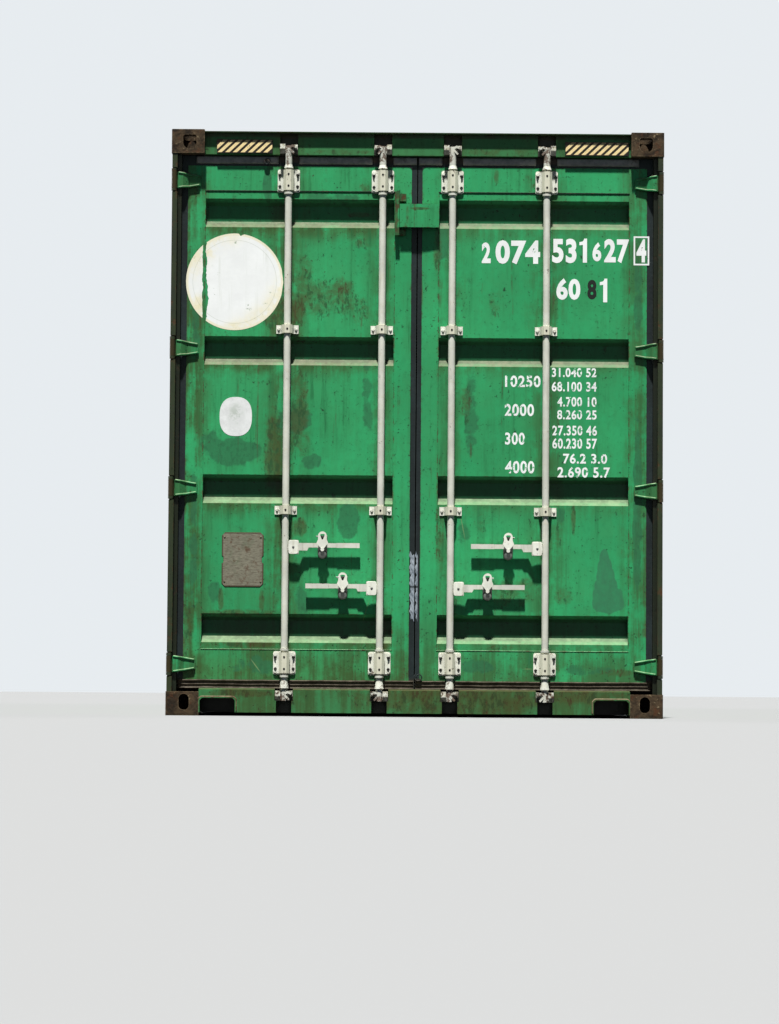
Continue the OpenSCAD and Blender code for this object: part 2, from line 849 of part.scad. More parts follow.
// A closed frame of one gasket layer between v0 and v1, reaching from the leaf towards the frame
module seal_ring(gap, middle, v0, v1) {
    u0 = inset + post_w + seal_gap;
    u1 = half_w - middle;
    z0 = sill_top + seal_gap;
    z1 = header_z - seal_gap;
    difference() {
        translate([u0, v0, z0]) cube([u1 - u0, v1 - v0, z1 - z0]);
        translate([leaf_u, v0 - past, leaf_z0])
            cube([half_w - gap - leaf_u, v1 - v0 + 2 * past, leaf_z1 - leaf_z0]);
    }
}

// The gasket: an outer and an inner lip joined by a web on the edge of the leaf
module door_gasket(gap, middle) {
    web = 10;
    seal_set = 3;
    front = leaf_v + seal_set;
    color(rubber) difference() {
        seal_ring(gap, middle, front, leaf_back);
        difference() {
            seal_ring(gap, middle - past, front + seal_t, leaf_back - seal_t);
            translate([leaf_u - web, 0, leaf_z0 - web])
                cube([half_w - gap - leaf_u + 2 * web, leaf_back + past,
                      leaf_z1 - leaf_z0 + 2 * web]);
        }
        translate([inset + post_w - past, front + seal_t, sill_top - past])
            cube([2 * past + seal_gap, leaf_t - seal_set - 2 * seal_t,
                  header_z - sill_top + 2 * past]);
    }
}

seal_middle = 3;

module left_door_frame() { left_rear() door_frame(left_gap); }
module left_door_panel() { left_rear() door_panel(left_gap); }
module left_door_gasket() { left_rear() door_gasket(left_gap, seal_middle); }
module right_door_frame() { right_rear() door_frame(right_gap); }
module right_door_panel() { right_rear() door_panel(right_gap); }
module right_door_gasket() { right_rear() door_gasket(right_gap, seal_middle); }

// Bar brackets and guides

// A hat-shaped plate over a bar, standing on a face at depth base_v
module bar_strap(h, wing, base_v) {
    crown = bar_v - bar_r - run_gap - bracket_t;
    shoulder = bar_r + run_gap + 3;
    foot = wing - 22;
    translate([0, 0, -h / 2]) difference() {
        linear_extrude(h)
            polygon([[-wing, base_v], [-wing, base_v - bracket_t], [-foot, base_v - bracket_t],
                     [-shoulder - bracket_t, bar_v + 4], [-shoulder - bracket_t, bar_v - 8],
                     [-shoulder + 8, crown], [shoulder - 8, crown],
                     [shoulder + bracket_t, bar_v - 8], [shoulder + bracket_t, bar_v + 4],
                     [foot, base_v - bracket_t], [wing, base_v - bracket_t], [wing, base_v]]);
        translate([0, bar_v, -past]) cylinder(r = bar_r + run_gap, h = h + 2 * past);
    }
}

// A bracket: a square plate with rounded corners and bolts, and a strap over the bar
module bar_bracket() {
    corner_r = 10;
    bolt_r = 9;
    bolt_h = 6;
    bolt_at = 18;
    strap_wing = bracket_w / 2 - 14;
    strap_cut = 7;
    bar_strap(bracket_h - 2 * strap_cut, strap_wing, leaf_v - bracket_t);
    translate([0, leaf_v - bracket_t, 0]) along_y(bracket_t) {
        square([bracket_w, bracket_h - 2 * corner_r], center = true);
        square([bracket_w - 2 * corner_r, bracket_h], center = true);
        for (x = [-1, 1], z = [-1, 1])
            translate([x * (bracket_w / 2 - corner_r), z * (bracket_h / 2 - corner_r)])
                circle(corner_r);
    }
    for (x = [-1, 1], z = [-1, 1])
        translate([x * (bracket_w / 2 - 11), leaf_v - bracket_t - bolt_h,
                   z * (bracket_h / 2 - bolt_at)])
            along_y(bolt_h) circle(bolt_r, $fn = 6);
}

bracket_top_z = height - bracket_drop;

module bar_brackets() {
    color(cream) for (x = [outer_bar_x, inner_bar_x]) translate([half_w - x, 0, 0]) {
        for (z = [bracket_z, bracket_top_z]) translate([0, 0, z]) bar_bracket();
        for (share = guide_share)
            translate([0, 0, bracket_z + share * (bracket_top_z - bracket_z)])
                bar_strap(guide_h, bracket_w / 2, panel_v);
    }
}

module left_bar_brackets() { left_rear() bar_brackets(); }
module right_bar_brackets() { right_rear() bar_brackets(); }

// Locking bars

collar_r = bar_r + 5;
collar_h = 10;
collar_gap = 2;
bell_r = 23;
lug_v = hub_front + hub_t + run_gap;

// The outline of a cam hook seen from the door end, in the height of its keeper
module hook_outline() {
    stroke = 11;
    folded([[-8, 0], [-8, 24], [2, 40], [18, keeper_h - 1], [hook_reach, 39]], -stroke);
    polygon([[0, 22], [22, 1], [28, 8], [8, 30]]);
}

// A cam: two wings that the keeper holds back until the bar is turned, and the hook in front
module cam(side) {
    translate([0, 0, (keeper_h - cam_h) / 2]) intersection() {
        cylinder(r = cam_r, h = cam_h);
        translate([-cam_r, -cam_w / 2, 0]) cube([2 * cam_r, cam_w, cam_h]);
    }
    mirror([side > 0 ? 0 : 1, 0, 0]) translate([0, -bar_r, 0]) along_y(hook_t) hook_outline();
}

// The lug that carries a handle on its rivet
module bar_lug(side) {
    lug_r = 20;
    translate([min(0, side * rivet_off), lug_v - bar_v, -lug_r])
        cube([rivet_off, hub_t, 2 * lug_r]);
    translate([side * rivet_off, lug_v - bar_v, 0]) along_y(hub_t) circle(lug_r);
    translate([side * rivet_off, hub_front - bar_v - 2, 0]) along_y(lug_v - hub_front + hub_t)
        circle(rivet_r);
}

// A locking bar on its own axis; its handle points to +x when side is 1
module locking_bar(handle_z, side) {
    low = keeper_z;
    high = keeper_top_z + keeper_h - 6;
    end_wall = 6;
    bell_h = 36;
    ring_z = bracket_h / 2 + collar_gap;
    color(cream) difference() {
        union() {
            translate([0, 0, low]) cylinder(r = bar_r, h = high - low);
            translate([0, 0, keeper_z]) cam(side);
            translate([0, 0, keeper_top_z]) cam(side);
            for (z = [bracket_top_z - ring_z - collar_h, bracket_z - ring_z - collar_h,
                      bracket_z + ring_z])
                translate([0, 0, z]) cylinder(r = collar_r, h = collar_h);
            translate([0, 0, sill_top]) cylinder(r1 = bell_r, r2 = bar_r, h = bell_h);
            translate([0, 0, bracket_top_z + ring_z])
                cylinder(r1 = bell_r, r2 = bar_r, h = bell_h / 2);
            translate([0, 0, handle_z - rivet_drop]) bar_lug(side);
        }
        translate([0, 0, low + end_wall])
            cylinder(r = bar_r - bar_wall, h = high - low - 2 * end_wall);
    }
}

module bar_at(i, handle_z) {
    translate([bar_xs[i], -half_l + bar_v, 0]) locking_bar(handle_z, handle_sides[i]);
}

module left_outer_bar() { bar_at(0, outer_handle_z); }
module left_inner_bar() { bar_at(1, inner_handle_z); }
module right_inner_bar() { bar_at(2, inner_handle_z); }
module right_outer_bar() { bar_at(3, outer_handle_z); }

// Handles

// A hub plate's outline round its rivet: round towards the bar, squarer towards the arm
module hub_outline() {
    corner_r = 7;
    reach = 27;
    rotate(90) slot(hub_h, hub_w);
    translate([0, -hub_h / 2]) square([reach - corner_r, hub_h]);
    translate([0, -hub_h / 2 + corner_r]) square([reach, hub_h - 2 * corner_r]);
    for (side = [-1, 1]) translate([reach - corner_r, side * (hub_h / 2 - corner_r)])
        circle(corner_r);
}

// A handle from its bar's axis towards +x: hub plate, cranked arm and grip
module handle() {
    bend = rivet_off + hub_w / 2;
    slope = 26;
    web_l = 44;
    web_drop = 15;
    grip_proud = 2;
    color(cream) difference() {
        union() {
            translate([rivet_off, hub_front, -rivet_drop]) along_y(hub_t) hub_outline();
            intersection() {
                translate([0, 0, -hub_h]) linear_extrude(2 * hub_h)
                    polygon([[rivet_off, hub_front], [bend + 4, hub_front],
                             [bend + slope, arm_v], [handle_l, arm_v],
                             [handle_l, arm_v + arm_t], [bend + slope - 7, arm_v + arm_t],
                             [bend, hub_front + hub_t], [rivet_off, hub_front + hub_t]]);
                along_y(leaf_v)
                    polygon([[rivet_off, -arm_h / 2 - web_drop],
                             [bend + web_l, -arm_h / 2 - web_drop],
                             [bend + web_l + web_drop / 2, -arm_h / 2],
                             [handle_l, -arm_h / 2], [handle_l, arm_h / 2],
                             [rivet_off, arm_h / 2]]);
            }
            translate([handle_l - grip_l, arm_v - grip_proud, -arm_h / 2 - grip_proud / 2])
                cube([grip_l, arm_t + grip_proud, arm_h + grip_proud]);
        }
        translate([rivet_off, hub_front - past, -rivet_drop]) along_y(hub_t + 2 * past)
            circle(rivet_r + run_gap);
    }
}

module handle_at(i, z) {
    translate([bar_xs[i], -half_l, z]) mirror([handle_sides[i] > 0 ? 0 : 1, 0, 0]) handle();
}

module left_outer_handle() { handle_at(0, outer_handle_z); }
module left_inner_handle() { handle_at(1, inner_handle_z); }
module right_inner_handle() { handle_at(2, inner_handle_z); }
module right_outer_handle() { handle_at(3, outer_handle_z); }

// Handle retainers and catches

block_w = 24;
catch_side_t = 4;

// A retainer round a handle at z = 0: back plate, strap below and the block with the catch's pin
module retainer() {
    plate_t = 4;
    round_r = retainer_w / 2;
    rest_z = -arm_h / 2 - run_gap;
    front = arm_v - 2;
    pin_past = [10, 3];
    block_r = catch_pin_r + 1.5;
    color(cream) {
        translate([-round_r, panel_v - plate_t, round_r - retainer_drop])
            cube([retainer_w, plate_t, retainer_drop - round_r + catch_rise + block_r]);
        intersection() {
            translate([-round_r, 0, 0]) along_x(retainer_w)
                folded([[panel_v, -retainer_drop + plate_t], [panel_v - 17, -retainer_drop + 8],
                        [panel_v - 30, -retainer_drop + 24], [front, -retainer_drop + 44],
                        [front, rest_z], [panel_v, rest_z]], -plate_t);
            along_y(panel_v) {
                translate([0, round_r - retainer_drop]) circle(round_r);
                translate([-round_r, round_r - retainer_drop]) square([retainer_w, retainer_drop]);
            }
        }
        translate([-block_w / 2, 0, catch_rise]) along_x(block_w) {
            translate([catch_pin_v, 0]) circle(block_r);
            translate([catch_pin_v, -block_r]) square([panel_v - catch_pin_v, 2 * block_r]);
        }
        translate([-catch_w / 2 - pin_past[0], catch_pin_v, catch_rise])
            along_x(catch_w + pin_past[0] + pin_past[1]) circle(catch_pin_r);
    }
}

module retainers() {
    left_x = half_w - outer_bar_x + retainer_off;
    right_x = half_w - inner_bar_x - retainer_off;
    translate([left_x, 0, outer_handle_z]) retainer();
    translate([right_x, 0, inner_handle_z]) retainer();
}

module left_handle_retainers() { left_rear() retainers(); }
module right_handle_retainers() { right_rear() retainers(); }

// A catch's outline round its pin: an arch with a three-cornered hole, wider over the handle
module catch_outline() {
    r = catch_w / 2;
    tip = -catch_rise - 14;
    difference() {
        union() {
            translate([0, 3]) circle(r);
            polygon([[-9, tip], [9, tip], [18, tip + 11], [catch_wide / 2, tip + 23],
                     [catch_wide / 2, tip + 27], [r, tip + 42], [r, 3], [-r, 3], [-r, tip + 42],
                     [-catch_wide / 2, tip + 27], [-catch_wide / 2, tip + 23],
                     [-18, tip + 11]]);
        }
        polygon([[-3, -15], [3, -15], [12, 8], [8, 12], [-8, 12], [-12, 8]]);
    }
}

// A catch on its pin at the origin: the plate in front, two sides round the pin and a round nose
module catch_plate() {
    front = catch_v - catch_pin_v;
    side_r = 7;
    nose_r = 9;
    nose_z = -catch_rise - 21;
    color(cream) difference() {
        union() {
            translate([0, front, 0]) along_y(catch_t) catch_outline();
            for (x = [-catch_w / 2, catch_w / 2 - catch_side_t]) translate([x, 0, 0])
                along_x(catch_side_t) {
                    circle(side_r);
                    translate([front + catch_t - past, -side_r])
                        square([-front - catch_t + past, 2 * side_r]);
                }
            translate([0, front - 2, nose_z]) along_y(catch_t + 2) circle(nose_r);
        }
        translate([-catch_w, 0, 0]) along_x(2 * catch_w) circle(catch_pin_r + run_gap);
    }
}

module catch_at(i, z) {
    translate([bar_xs[i] + handle_sides[i] * retainer_off, -half_l + catch_pin_v, z + catch_rise])
        catch_plate();
}

module left_outer_catch() { catch_at(0, outer_handle_z); }
module left_inner_catch() { catch_at(1, inner_handle_z); }
module right_inner_catch() { catch_at(2, inner_handle_z); }
module right_outer_catch() { catch_at(3, outer_handle_z); }

// Lock box and the bracket beside it

lock_box_z1 = height - lock_box_drop;
lock_box_z0 = lock_box_z1 - lock_box_h;
over_gap = 5;

// The lock box in plan, w wide to the left and to the right of its bend
module lock_box_plan(wall, back) {
    fall = 5;
    left = lock_box_x[0] + wall;
    right = lock_box_x[1] - wall;
    polygon([[left, lock_box_v + wall], [lock_box_bend, lock_box_v + wall],
             [right, lock_box_v + fall + wall], [right, back], [left, back]]);
}

// The lock box: open below, fixed to the right leaf and reaching over the left one
module lock_box() {
    foot_x = right_gap;
    color(green) translate([0, -half_l, lock_box_z0]) {
        difference() {
            linear_extrude(lock_box_h) lock_box_plan(0, leaf_v - over_gap);
            translate([0, 0, -past]) linear_extrude(lock_box_h - lock_box_wall + past)
                lock_box_plan(lock_box_wall, leaf_v);
        }
        translate([foot_x, leaf_v - over_gap, 0]) difference() {
            cube([lock_box_x[1] - foot_x, over_gap, lock_box_h]);
            translate([lock_box_wall, -past, -past])
                cube([lock_box_x[1] - foot_x - 2 * lock_box_wall, leaf_v,
                      lock_box_h + past - lock_box_wall]);
        }
    }
}

// The bracket on the left leaf: an upright bar with a block above and a tab below the lock box
module overlap_plate() {
    bar_w = 21;
    bar_past = [40, 61];
    bar_x = lock_box_x[0] - 2 - bar_w;
    block = [34, 23, 37];
    tab = [32, 19, 29];
    color(green) translate([0, -half_l, 0]) {
        translate([bar_x, lock_box_v, lock_box_z0 - bar_past[0]])
            cube([bar_w, leaf_v - lock_box_v, lock_box_h + bar_past[0] + bar_past[1]]);
        translate([bar_x + bar_w - past, leaf_v - block[1], lock_box_z1 + 16])
            cube([block[0] + past, block[1], block[2]]);
        translate([bar_x + bar_w - past, leaf_v - tab[1], lock_box_z0 - 9 - tab[2]])
            cube([tab[0] + past, tab[1], tab[2]]);
    }
}

// Lashing rings and ventilators

module lashing_rings() {
    ring_r = 22;
    rod_r = 5;
    lug_w = 40;
    lug_t = 6;
    u = inset + rail_flange - 1;
    pitch = 1200;
    count = floor(rail_l / pitch);
    first = casting_l + (rail_l - (count - 1) * pitch) / 2;
    color(rust) for (i = [0:count - 1]) translate([u, first + i * pitch, rail_top]) {
        translate([-lug_t / 2, -lug_w / 2, 0]) cube([lug_t, lug_w, ring_r]);
        translate([0, 0, ring_r + rod_r + run_gap]) rotate([0, 90, 0])
            rotate_extrude() translate([ring_r, 0]) circle(rod_r, $fn = 16);
    }
}

module lashing_rings_left() { left_rear() lashing_rings(); }
module lashing_rings_right() { right_rear() lashing_rings(); }

// A ventilator hood in a hollow of the side wall
vent_gap = 6;

module ventilator() {
    wall = 4;
    hood = side_depth - vent_gap;
    difference() {
        cube([hood, vent_w, vent_h]);
        translate([wall, wall, -past])
            cube([hood - 2 * wall, vent_w - 2 * wall, vent_h - wall + past]);
    }
}

module ventilators() {
    pitch = side_crest + 2 * side_slope + side_trough;
    count = floor((wall_l - side_crest) / pitch);
    first = casting_l + (wall_l - count * pitch + side_crest) / 2 + side_slope;
    u = inset + sheet_t + vent_gap;
    z = rail_under - vent_drop - vent_h;
    color(dark_green) for (side = [0, 1], i = [2, count - 3]) mirror([side, 0, 0])
        left_rear() translate([u, first + i * pitch + (side_trough - vent_w) / 2, z]) ventilator();
}

floor_boards();
cross_members();
tunnel_outriggers_left();
tunnel_outriggers_right();
gooseneck_tunnel();
bottom_side_rail_left();
bottom_side_rail_right();
top_side_rail_left();
top_side_rail_right();
side_wall_left();
side_wall_right();
front_wall();
roof_panel();
front_post_left();
front_post_right();
front_top_rail();
front_sill();
rear_post_left();
rear_post_right();
door_header();
door_sill();
rear_castings_top();
rear_castings_bottom();
front_castings_top();
front_castings_bottom();
cam_keepers_top();
cam_keepers_bottom();
hinge_lugs_left();
hinge_lugs_right();
lashing_rings_left();
lashing_rings_right();
ventilators();
left_door_frame();
left_door_panel();
left_door_gasket();
left_hinge_blades();
left_bar_brackets();
left_handle_retainers();
overlap_plate();
right_door_frame();
right_door_panel();
right_door_gasket();
right_hinge_blades();
right_bar_brackets();
right_handle_retainers();
lock_box();
left_outer_bar();
left_inner_bar();
right_inner_bar();
right_outer_bar();
left_outer_handle();
left_inner_handle();
right_inner_handle();
right_outer_handle();
left_outer_catch();
left_inner_catch();
right_inner_catch();
right_outer_catch();
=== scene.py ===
"""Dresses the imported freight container: paint, markings, fasteners, light and camera."""

import math

import bmesh
import bpy
import numpy as np
from mathutils import Matrix, Vector


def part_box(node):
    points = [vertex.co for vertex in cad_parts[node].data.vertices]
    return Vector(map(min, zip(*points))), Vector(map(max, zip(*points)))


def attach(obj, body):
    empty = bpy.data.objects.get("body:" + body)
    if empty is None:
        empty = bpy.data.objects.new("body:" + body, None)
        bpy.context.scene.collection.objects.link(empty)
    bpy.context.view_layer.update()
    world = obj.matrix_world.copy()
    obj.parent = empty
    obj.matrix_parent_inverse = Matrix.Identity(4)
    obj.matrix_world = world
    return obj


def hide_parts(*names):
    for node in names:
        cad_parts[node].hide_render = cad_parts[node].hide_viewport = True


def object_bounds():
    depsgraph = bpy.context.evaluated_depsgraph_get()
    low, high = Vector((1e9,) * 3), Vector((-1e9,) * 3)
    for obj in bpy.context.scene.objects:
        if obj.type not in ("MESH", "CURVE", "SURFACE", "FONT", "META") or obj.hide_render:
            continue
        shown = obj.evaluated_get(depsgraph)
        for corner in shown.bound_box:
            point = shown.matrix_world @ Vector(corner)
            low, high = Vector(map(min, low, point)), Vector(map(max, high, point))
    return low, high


bl_info = {
    "name": "Freight container dressing",
    "version": (1, 0, 0),
    "blender": (4, 5, 0),
    "location": "3D View > Sidebar > Container",
    "description": "Weathered paint, markings and fasteners for a 40 ft high cube container",
    "category": "Object",
}

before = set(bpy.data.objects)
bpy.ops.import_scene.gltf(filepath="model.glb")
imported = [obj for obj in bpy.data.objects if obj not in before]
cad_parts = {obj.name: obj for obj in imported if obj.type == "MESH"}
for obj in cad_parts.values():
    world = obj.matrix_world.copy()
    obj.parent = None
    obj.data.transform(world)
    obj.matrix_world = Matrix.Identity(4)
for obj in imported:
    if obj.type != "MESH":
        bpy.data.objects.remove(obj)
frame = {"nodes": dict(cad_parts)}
CAD_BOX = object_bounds()
LEAF_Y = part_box("left_door_frame")[0][1]
PANEL_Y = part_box("left_door_panel")[0][1]
HEADER_SET_BACK = 0.004
DOOR_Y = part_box("door_header")[0][1] - HEADER_SET_BACK
# Depths behind the door end: the solid header's, and those that its shell has
HEADER_FROM = (HEADER_SET_BACK, 0.022, 0.0265, 0.063, 0.178)
HEADER_TO = (0.016, 0.042, 0.0465, 0.063, 0.178)
HEADER_Y = DOOR_Y + HEADER_TO[1]
STRAP_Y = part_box("left_bar_brackets")[0][1]
BAR_X = {"left_outer": -0.640, "left_inner": -0.173, "right_inner": 0.173, "right_outer": 0.640}
HANDLE_SIDE = {"left_outer": 1, "left_inner": -1, "right_inner": 1, "right_outer": -1}
HANDLE_Z = {"left_outer": 0.840, "left_inner": 0.640, "right_inner": 0.640, "right_outer": 0.840}
BRACKET_Z = (0.261, 2.650)
GUIDE_Z = (1.0135, 1.9094)
BRACKET_BOLT_X = (-0.044, 0.044)
BRACKET_BOLT_Z = (-0.029, 0.029)
GUIDE_BOLT_X = (-0.043, 0.043)
HUB_OUT = 0.040
HUB_DOWN = 0.010
HUB_COVER = (0.047, 0.068, 0.009)
CATCH_OUT = 0.183
CUP_DOWN = 0.046
DISC_AT = (-0.9037, 2.1459)
OVAL_AT = (-0.8915, 1.4760)
PLATE_AT = (-0.8503, 0.7689)
PLATE_THICK = 0.0022
PRINT_THICK = 0.0004
STRIPE_BOARDS = (("left", -0.998, -0.721), ("right", 0.730, 1.046))
STRIPE_BOARD_Z = (2.785, 2.852)
STRIPE_BOARD_THICK = 0.0080
SEAL_PATCHES = (("left", -0.026, -0.0035), ("right", 0.0035, 0.0130))
PATCH_LOW = 0.474
PATCH_TOP = 0.812
SILL_OPENING_X = (-0.9657, 0.9657)
CURLS = (("left", (-0.748, DOOR_Y + 0.056, 2.744), 0.017, 0.3),
         ("right", (0.020, DOOR_Y + 0.058, 0.196), 0.022, 2.2))
TO_FRONT = np.array([0.0, -1.0, 0.0])
PANEL_TOPS = (0.382, 1.072, 1.757, 2.428)
HINGE_Z = (0.2520, 1.1186, 1.8105, 2.6460)

FLOOR_X = (-90, 90)
FLOOR_Y = (-60, 120)
SUN_WAY = (0.11, 1.0, -2.8)
FILL_WAYS = {"fill_left": (0.85, -0.5, -0.2), "fill_right": (-0.85, -0.5, -0.2)}
FILL_SIZE = 0.3
CAMERA_LENS = 108.61
CAMERA_AT = (-0.1762, -21.2509, 0.1234)
CAMERA_TURNS = (("Z", -0.1812), ("X", 93.3299), ("Z", 0.4277))


def srgb(red, green, blue):
    """The linear colour of an sRGB colour given from 0 to 255."""
    parts = np.array([red, green, blue]) / 255
    linear = np.where(parts <= 0.04045, parts / 12.92, ((parts + 0.055) / 1.055) ** 2.4)
    return tuple(float(c) for c in linear)


def paint_prop(name, description, colour):
    """A colour that a user may change."""
    return bpy.props.FloatVectorProperty(name=name, description=description, subtype="COLOR", size=3,
                                         min=0, max=1, default=colour)


def length_prop(name, description, metres):
    """A size in metres that a user may change."""
    return bpy.props.FloatProperty(name=name, description=description, subtype="DISTANCE",
                                   unit="LENGTH", min=0, default=metres)


class ContainerPaint(bpy.types.PropertyGroup):
    """The container's colours"""

    door: paint_prop("Doors", "Paint of the doors and walls", srgb(52, 158, 98))
    frame: paint_prop("Frame", "Paint of the rails, the header and the sill", srgb(58, 120, 72))
    post: paint_prop("Posts", "Worn paint of the rear posts", srgb(44, 50, 38))
    casting: paint_prop("Castings", "Worn paint of the corner castings", srgb(64, 54, 42))
    gear: paint_prop("Locking gear", "Paint of the bars, brackets and handles", srgb(226, 226, 210))
    rust: paint_prop("Rust", "Rust where the paint has gone", srgb(78, 50, 32))
    rubber: paint_prop("Gaskets", "Rubber of the door gaskets", srgb(22, 31, 31))
    marks: paint_prop("Markings", "Painted numbers and the labels", srgb(250, 251, 246))


class ContainerMarks(bpy.types.PropertyGroup):
    """The sizes of the markings"""

    disc: length_prop("Disc", "Diameter of the round label", 0.482)
    plate_w: length_prop("Plate width", "Width of the data plate", 0.206)
    plate_h: length_prop("Plate height", "Height of the data plate", 0.268)
    stripe_pitch: length_prop("Stripe pitch", "Distance between two header stripes", 0.0378)


class ContainerLight(bpy.types.PropertyGroup):
    """The studio light"""

    sun: bpy.props.FloatProperty(name="Sun", description="Strength of the main lamp", default=8.4, min=0)
    sun_size: bpy.props.FloatProperty(name="Sun size", description="Angle of the main lamp",
                                      subtype="ANGLE", default=math.radians(2.5))
    fill: bpy.props.FloatProperty(name="Fill", description="Strength of the two lamps from behind",
                                  default=1.9, min=0)
    world: bpy.props.FloatProperty(name="Surroundings", description="Strength of the soft light",
                                   default=0.07, min=0)


# Meshes


def loft(rings, caps=True):
    """A closed profile carried along its stations: ring i, point j is joined to ring i + 1, point j."""
    rings = np.asarray(rings, float)
    count, size = rings.shape[:2]
    i, j = np.meshgrid(np.arange(count - 1), np.arange(size), indexing="ij")
    k = (j + 1) % size
    quads = np.stack([i * size + j, i * size + k, (i + 1) * size + k, (i + 1) * size + j], -1)
    faces = quads.reshape(-1, 4).tolist()
    if caps:
        faces.append(list(range(size))[::-1])
        faces.append(list(range((count - 1) * size, count * size)))
    return rings.reshape(-1, 3), faces


def sheet(points):
    """An open surface on a grid: point (i, j) is joined to its neighbours in both directions."""
    points = np.asarray(points, float)
    rows, cols = points.shape[:2]
    i, j = np.meshgrid(np.arange(rows - 1), np.arange(cols - 1), indexing="ij")
    at = i * cols + j
    quads = np.stack([at, at + 1, at + cols + 1, at + cols], -1)
    return points.reshape(-1, 3), quads.reshape(-1, 4).tolist()


def copies(shape, places):
    """One shape repeated at many places: every vertex plus every place."""
    verts, faces = shape
    places = np.asarray(places, float)
    step = len(verts)
    every = (verts[None] + places[:, None]).reshape(-1, 3)
    return every, [[v + n * step for v in face] for n in range(len(places)) for face in faces]


def together(shapes):
    """Several shapes as one list of vertices and faces."""
    verts, faces, start = [], [], 0
    for shape_verts, shape_faces in shapes:
        verts.append(shape_verts)
        faces += [[v + start for v in face] for face in shape_faces]
        start += len(shape_verts)
    return np.concatenate(verts), faces


def vertices(mesh):
    """The places of a mesh's vertices."""
    co = np.zeros(len(mesh.vertices) * 3)
    mesh.vertices.foreach_get("co", co)
    return co.reshape(-1, 3)


def reshaped(mesh, co, finish):
    """A mesh with its vertices at new places and one finish."""
    mesh.vertices.foreach_set("co", co.ravel())
    mesh.materials.clear()
    mesh.materials.append(FINISHES[finish])
    mesh.update()
    return mesh


def ready(name, mesh, body):
    """The object of a finished mesh, riding on a body."""
    obj = bpy.data.objects.new(name, mesh)
    bpy.context.scene.collection.objects.link(obj)
    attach(obj, body)
    return obj


def piece(name, shape, finish, body, smooth=False, facing=False):
    """A finished piece from vertices and faces, riding on a body; an open sheet is facing the door end."""
    verts, faces = shape
    mesh = bpy.data.meshes.new(name)
    mesh.from_pydata(np.asarray(verts).tolist(), [], faces)
    mesh.update()
    if facing:
        normals = np.zeros(len(mesh.polygons) * 3)
        mesh.polygons.foreach_get("normal", normals)
        if normals[1::3].sum() > 0:
            mesh.flip_normals()
    else:
        closed = bmesh.new()
        closed.from_mesh(mesh)
        bmesh.ops.recalc_face_normals(closed, faces=closed.faces)
        closed.to_mesh(mesh)
        closed.free()
    mesh.polygons.foreach_set("use_smooth", [smooth] * len(mesh.polygons))
    mesh.materials.append(FINISHES[finish])
    return ready(name, mesh, body)


def door_piece(side, name, shape, finish, smooth=False, facing=False):
    """A finished piece of one door, named for its side."""
    return piece(side + "_" + name, shape, finish, side + "_door", smooth, facing)


def facing_ring(outline, y):
    """An outline in x and z, seen from the door end, at depth y."""
    outline = np.asarray(outline, float)
    return np.stack([outline[:, 0], np.full(len(outline), y), outline[:, 1]], -1)


def plate(outline, back_y, thick, bevel=0.0):
    """A plate standing on back_y towards the door end: the outline carried forward, drawn in at its edge."""
    outline = np.asarray(outline, float)
    middle = outline.mean(0)
    reach = np.abs(outline - middle).max()
    drawn = middle + (outline - middle) * (1 - bevel / reach)
    rings = [facing_ring(outline, back_y), facing_ring(outline, back_y - thick + bevel)]
    if bevel:
        rings.append(facing_ring(drawn, back_y - thick))
    return loft(rings)


def round_outline(radius, count=24, squash=1.0, power=2.0):
    """Points of a superellipse: x = r cos t, z = r sin t, each raised to 2 / power."""
    t = np.linspace(0, 2 * np.pi, count, endpoint=False)
    x = np.sign(np.cos(t)) * np.abs(np.cos(t)) ** (2 / power)
    z = np.sign(np.sin(t)) * np.abs(np.sin(t)) ** (2 / power)
    return np.stack([radius * x, radius * squash * z], -1)


def bolt(radius, height):
    """A bolt head on y = 0 pointing to the door end: a washer, a six-sided head and its chamfer."""
    steps = [(1.35, 0.0), (1.35, 0.2), (1.0, 0.22), (1.0, 0.85), (0.82, 1.0)]
    return loft([facing_ring(round_outline(s * radius, 6), -h * height) for s, h in steps])


def dome(radius, height, count=16):
    """A rivet head: radius r cos a at height h sin a."""
    a = np.linspace(0, 0.47 * np.pi, 6)
    rings = [facing_ring(round_outline(radius * c, count), -height * s)
             for c, s in zip(np.cos(a), np.sin(a))]
    return loft(rings)


# Materials


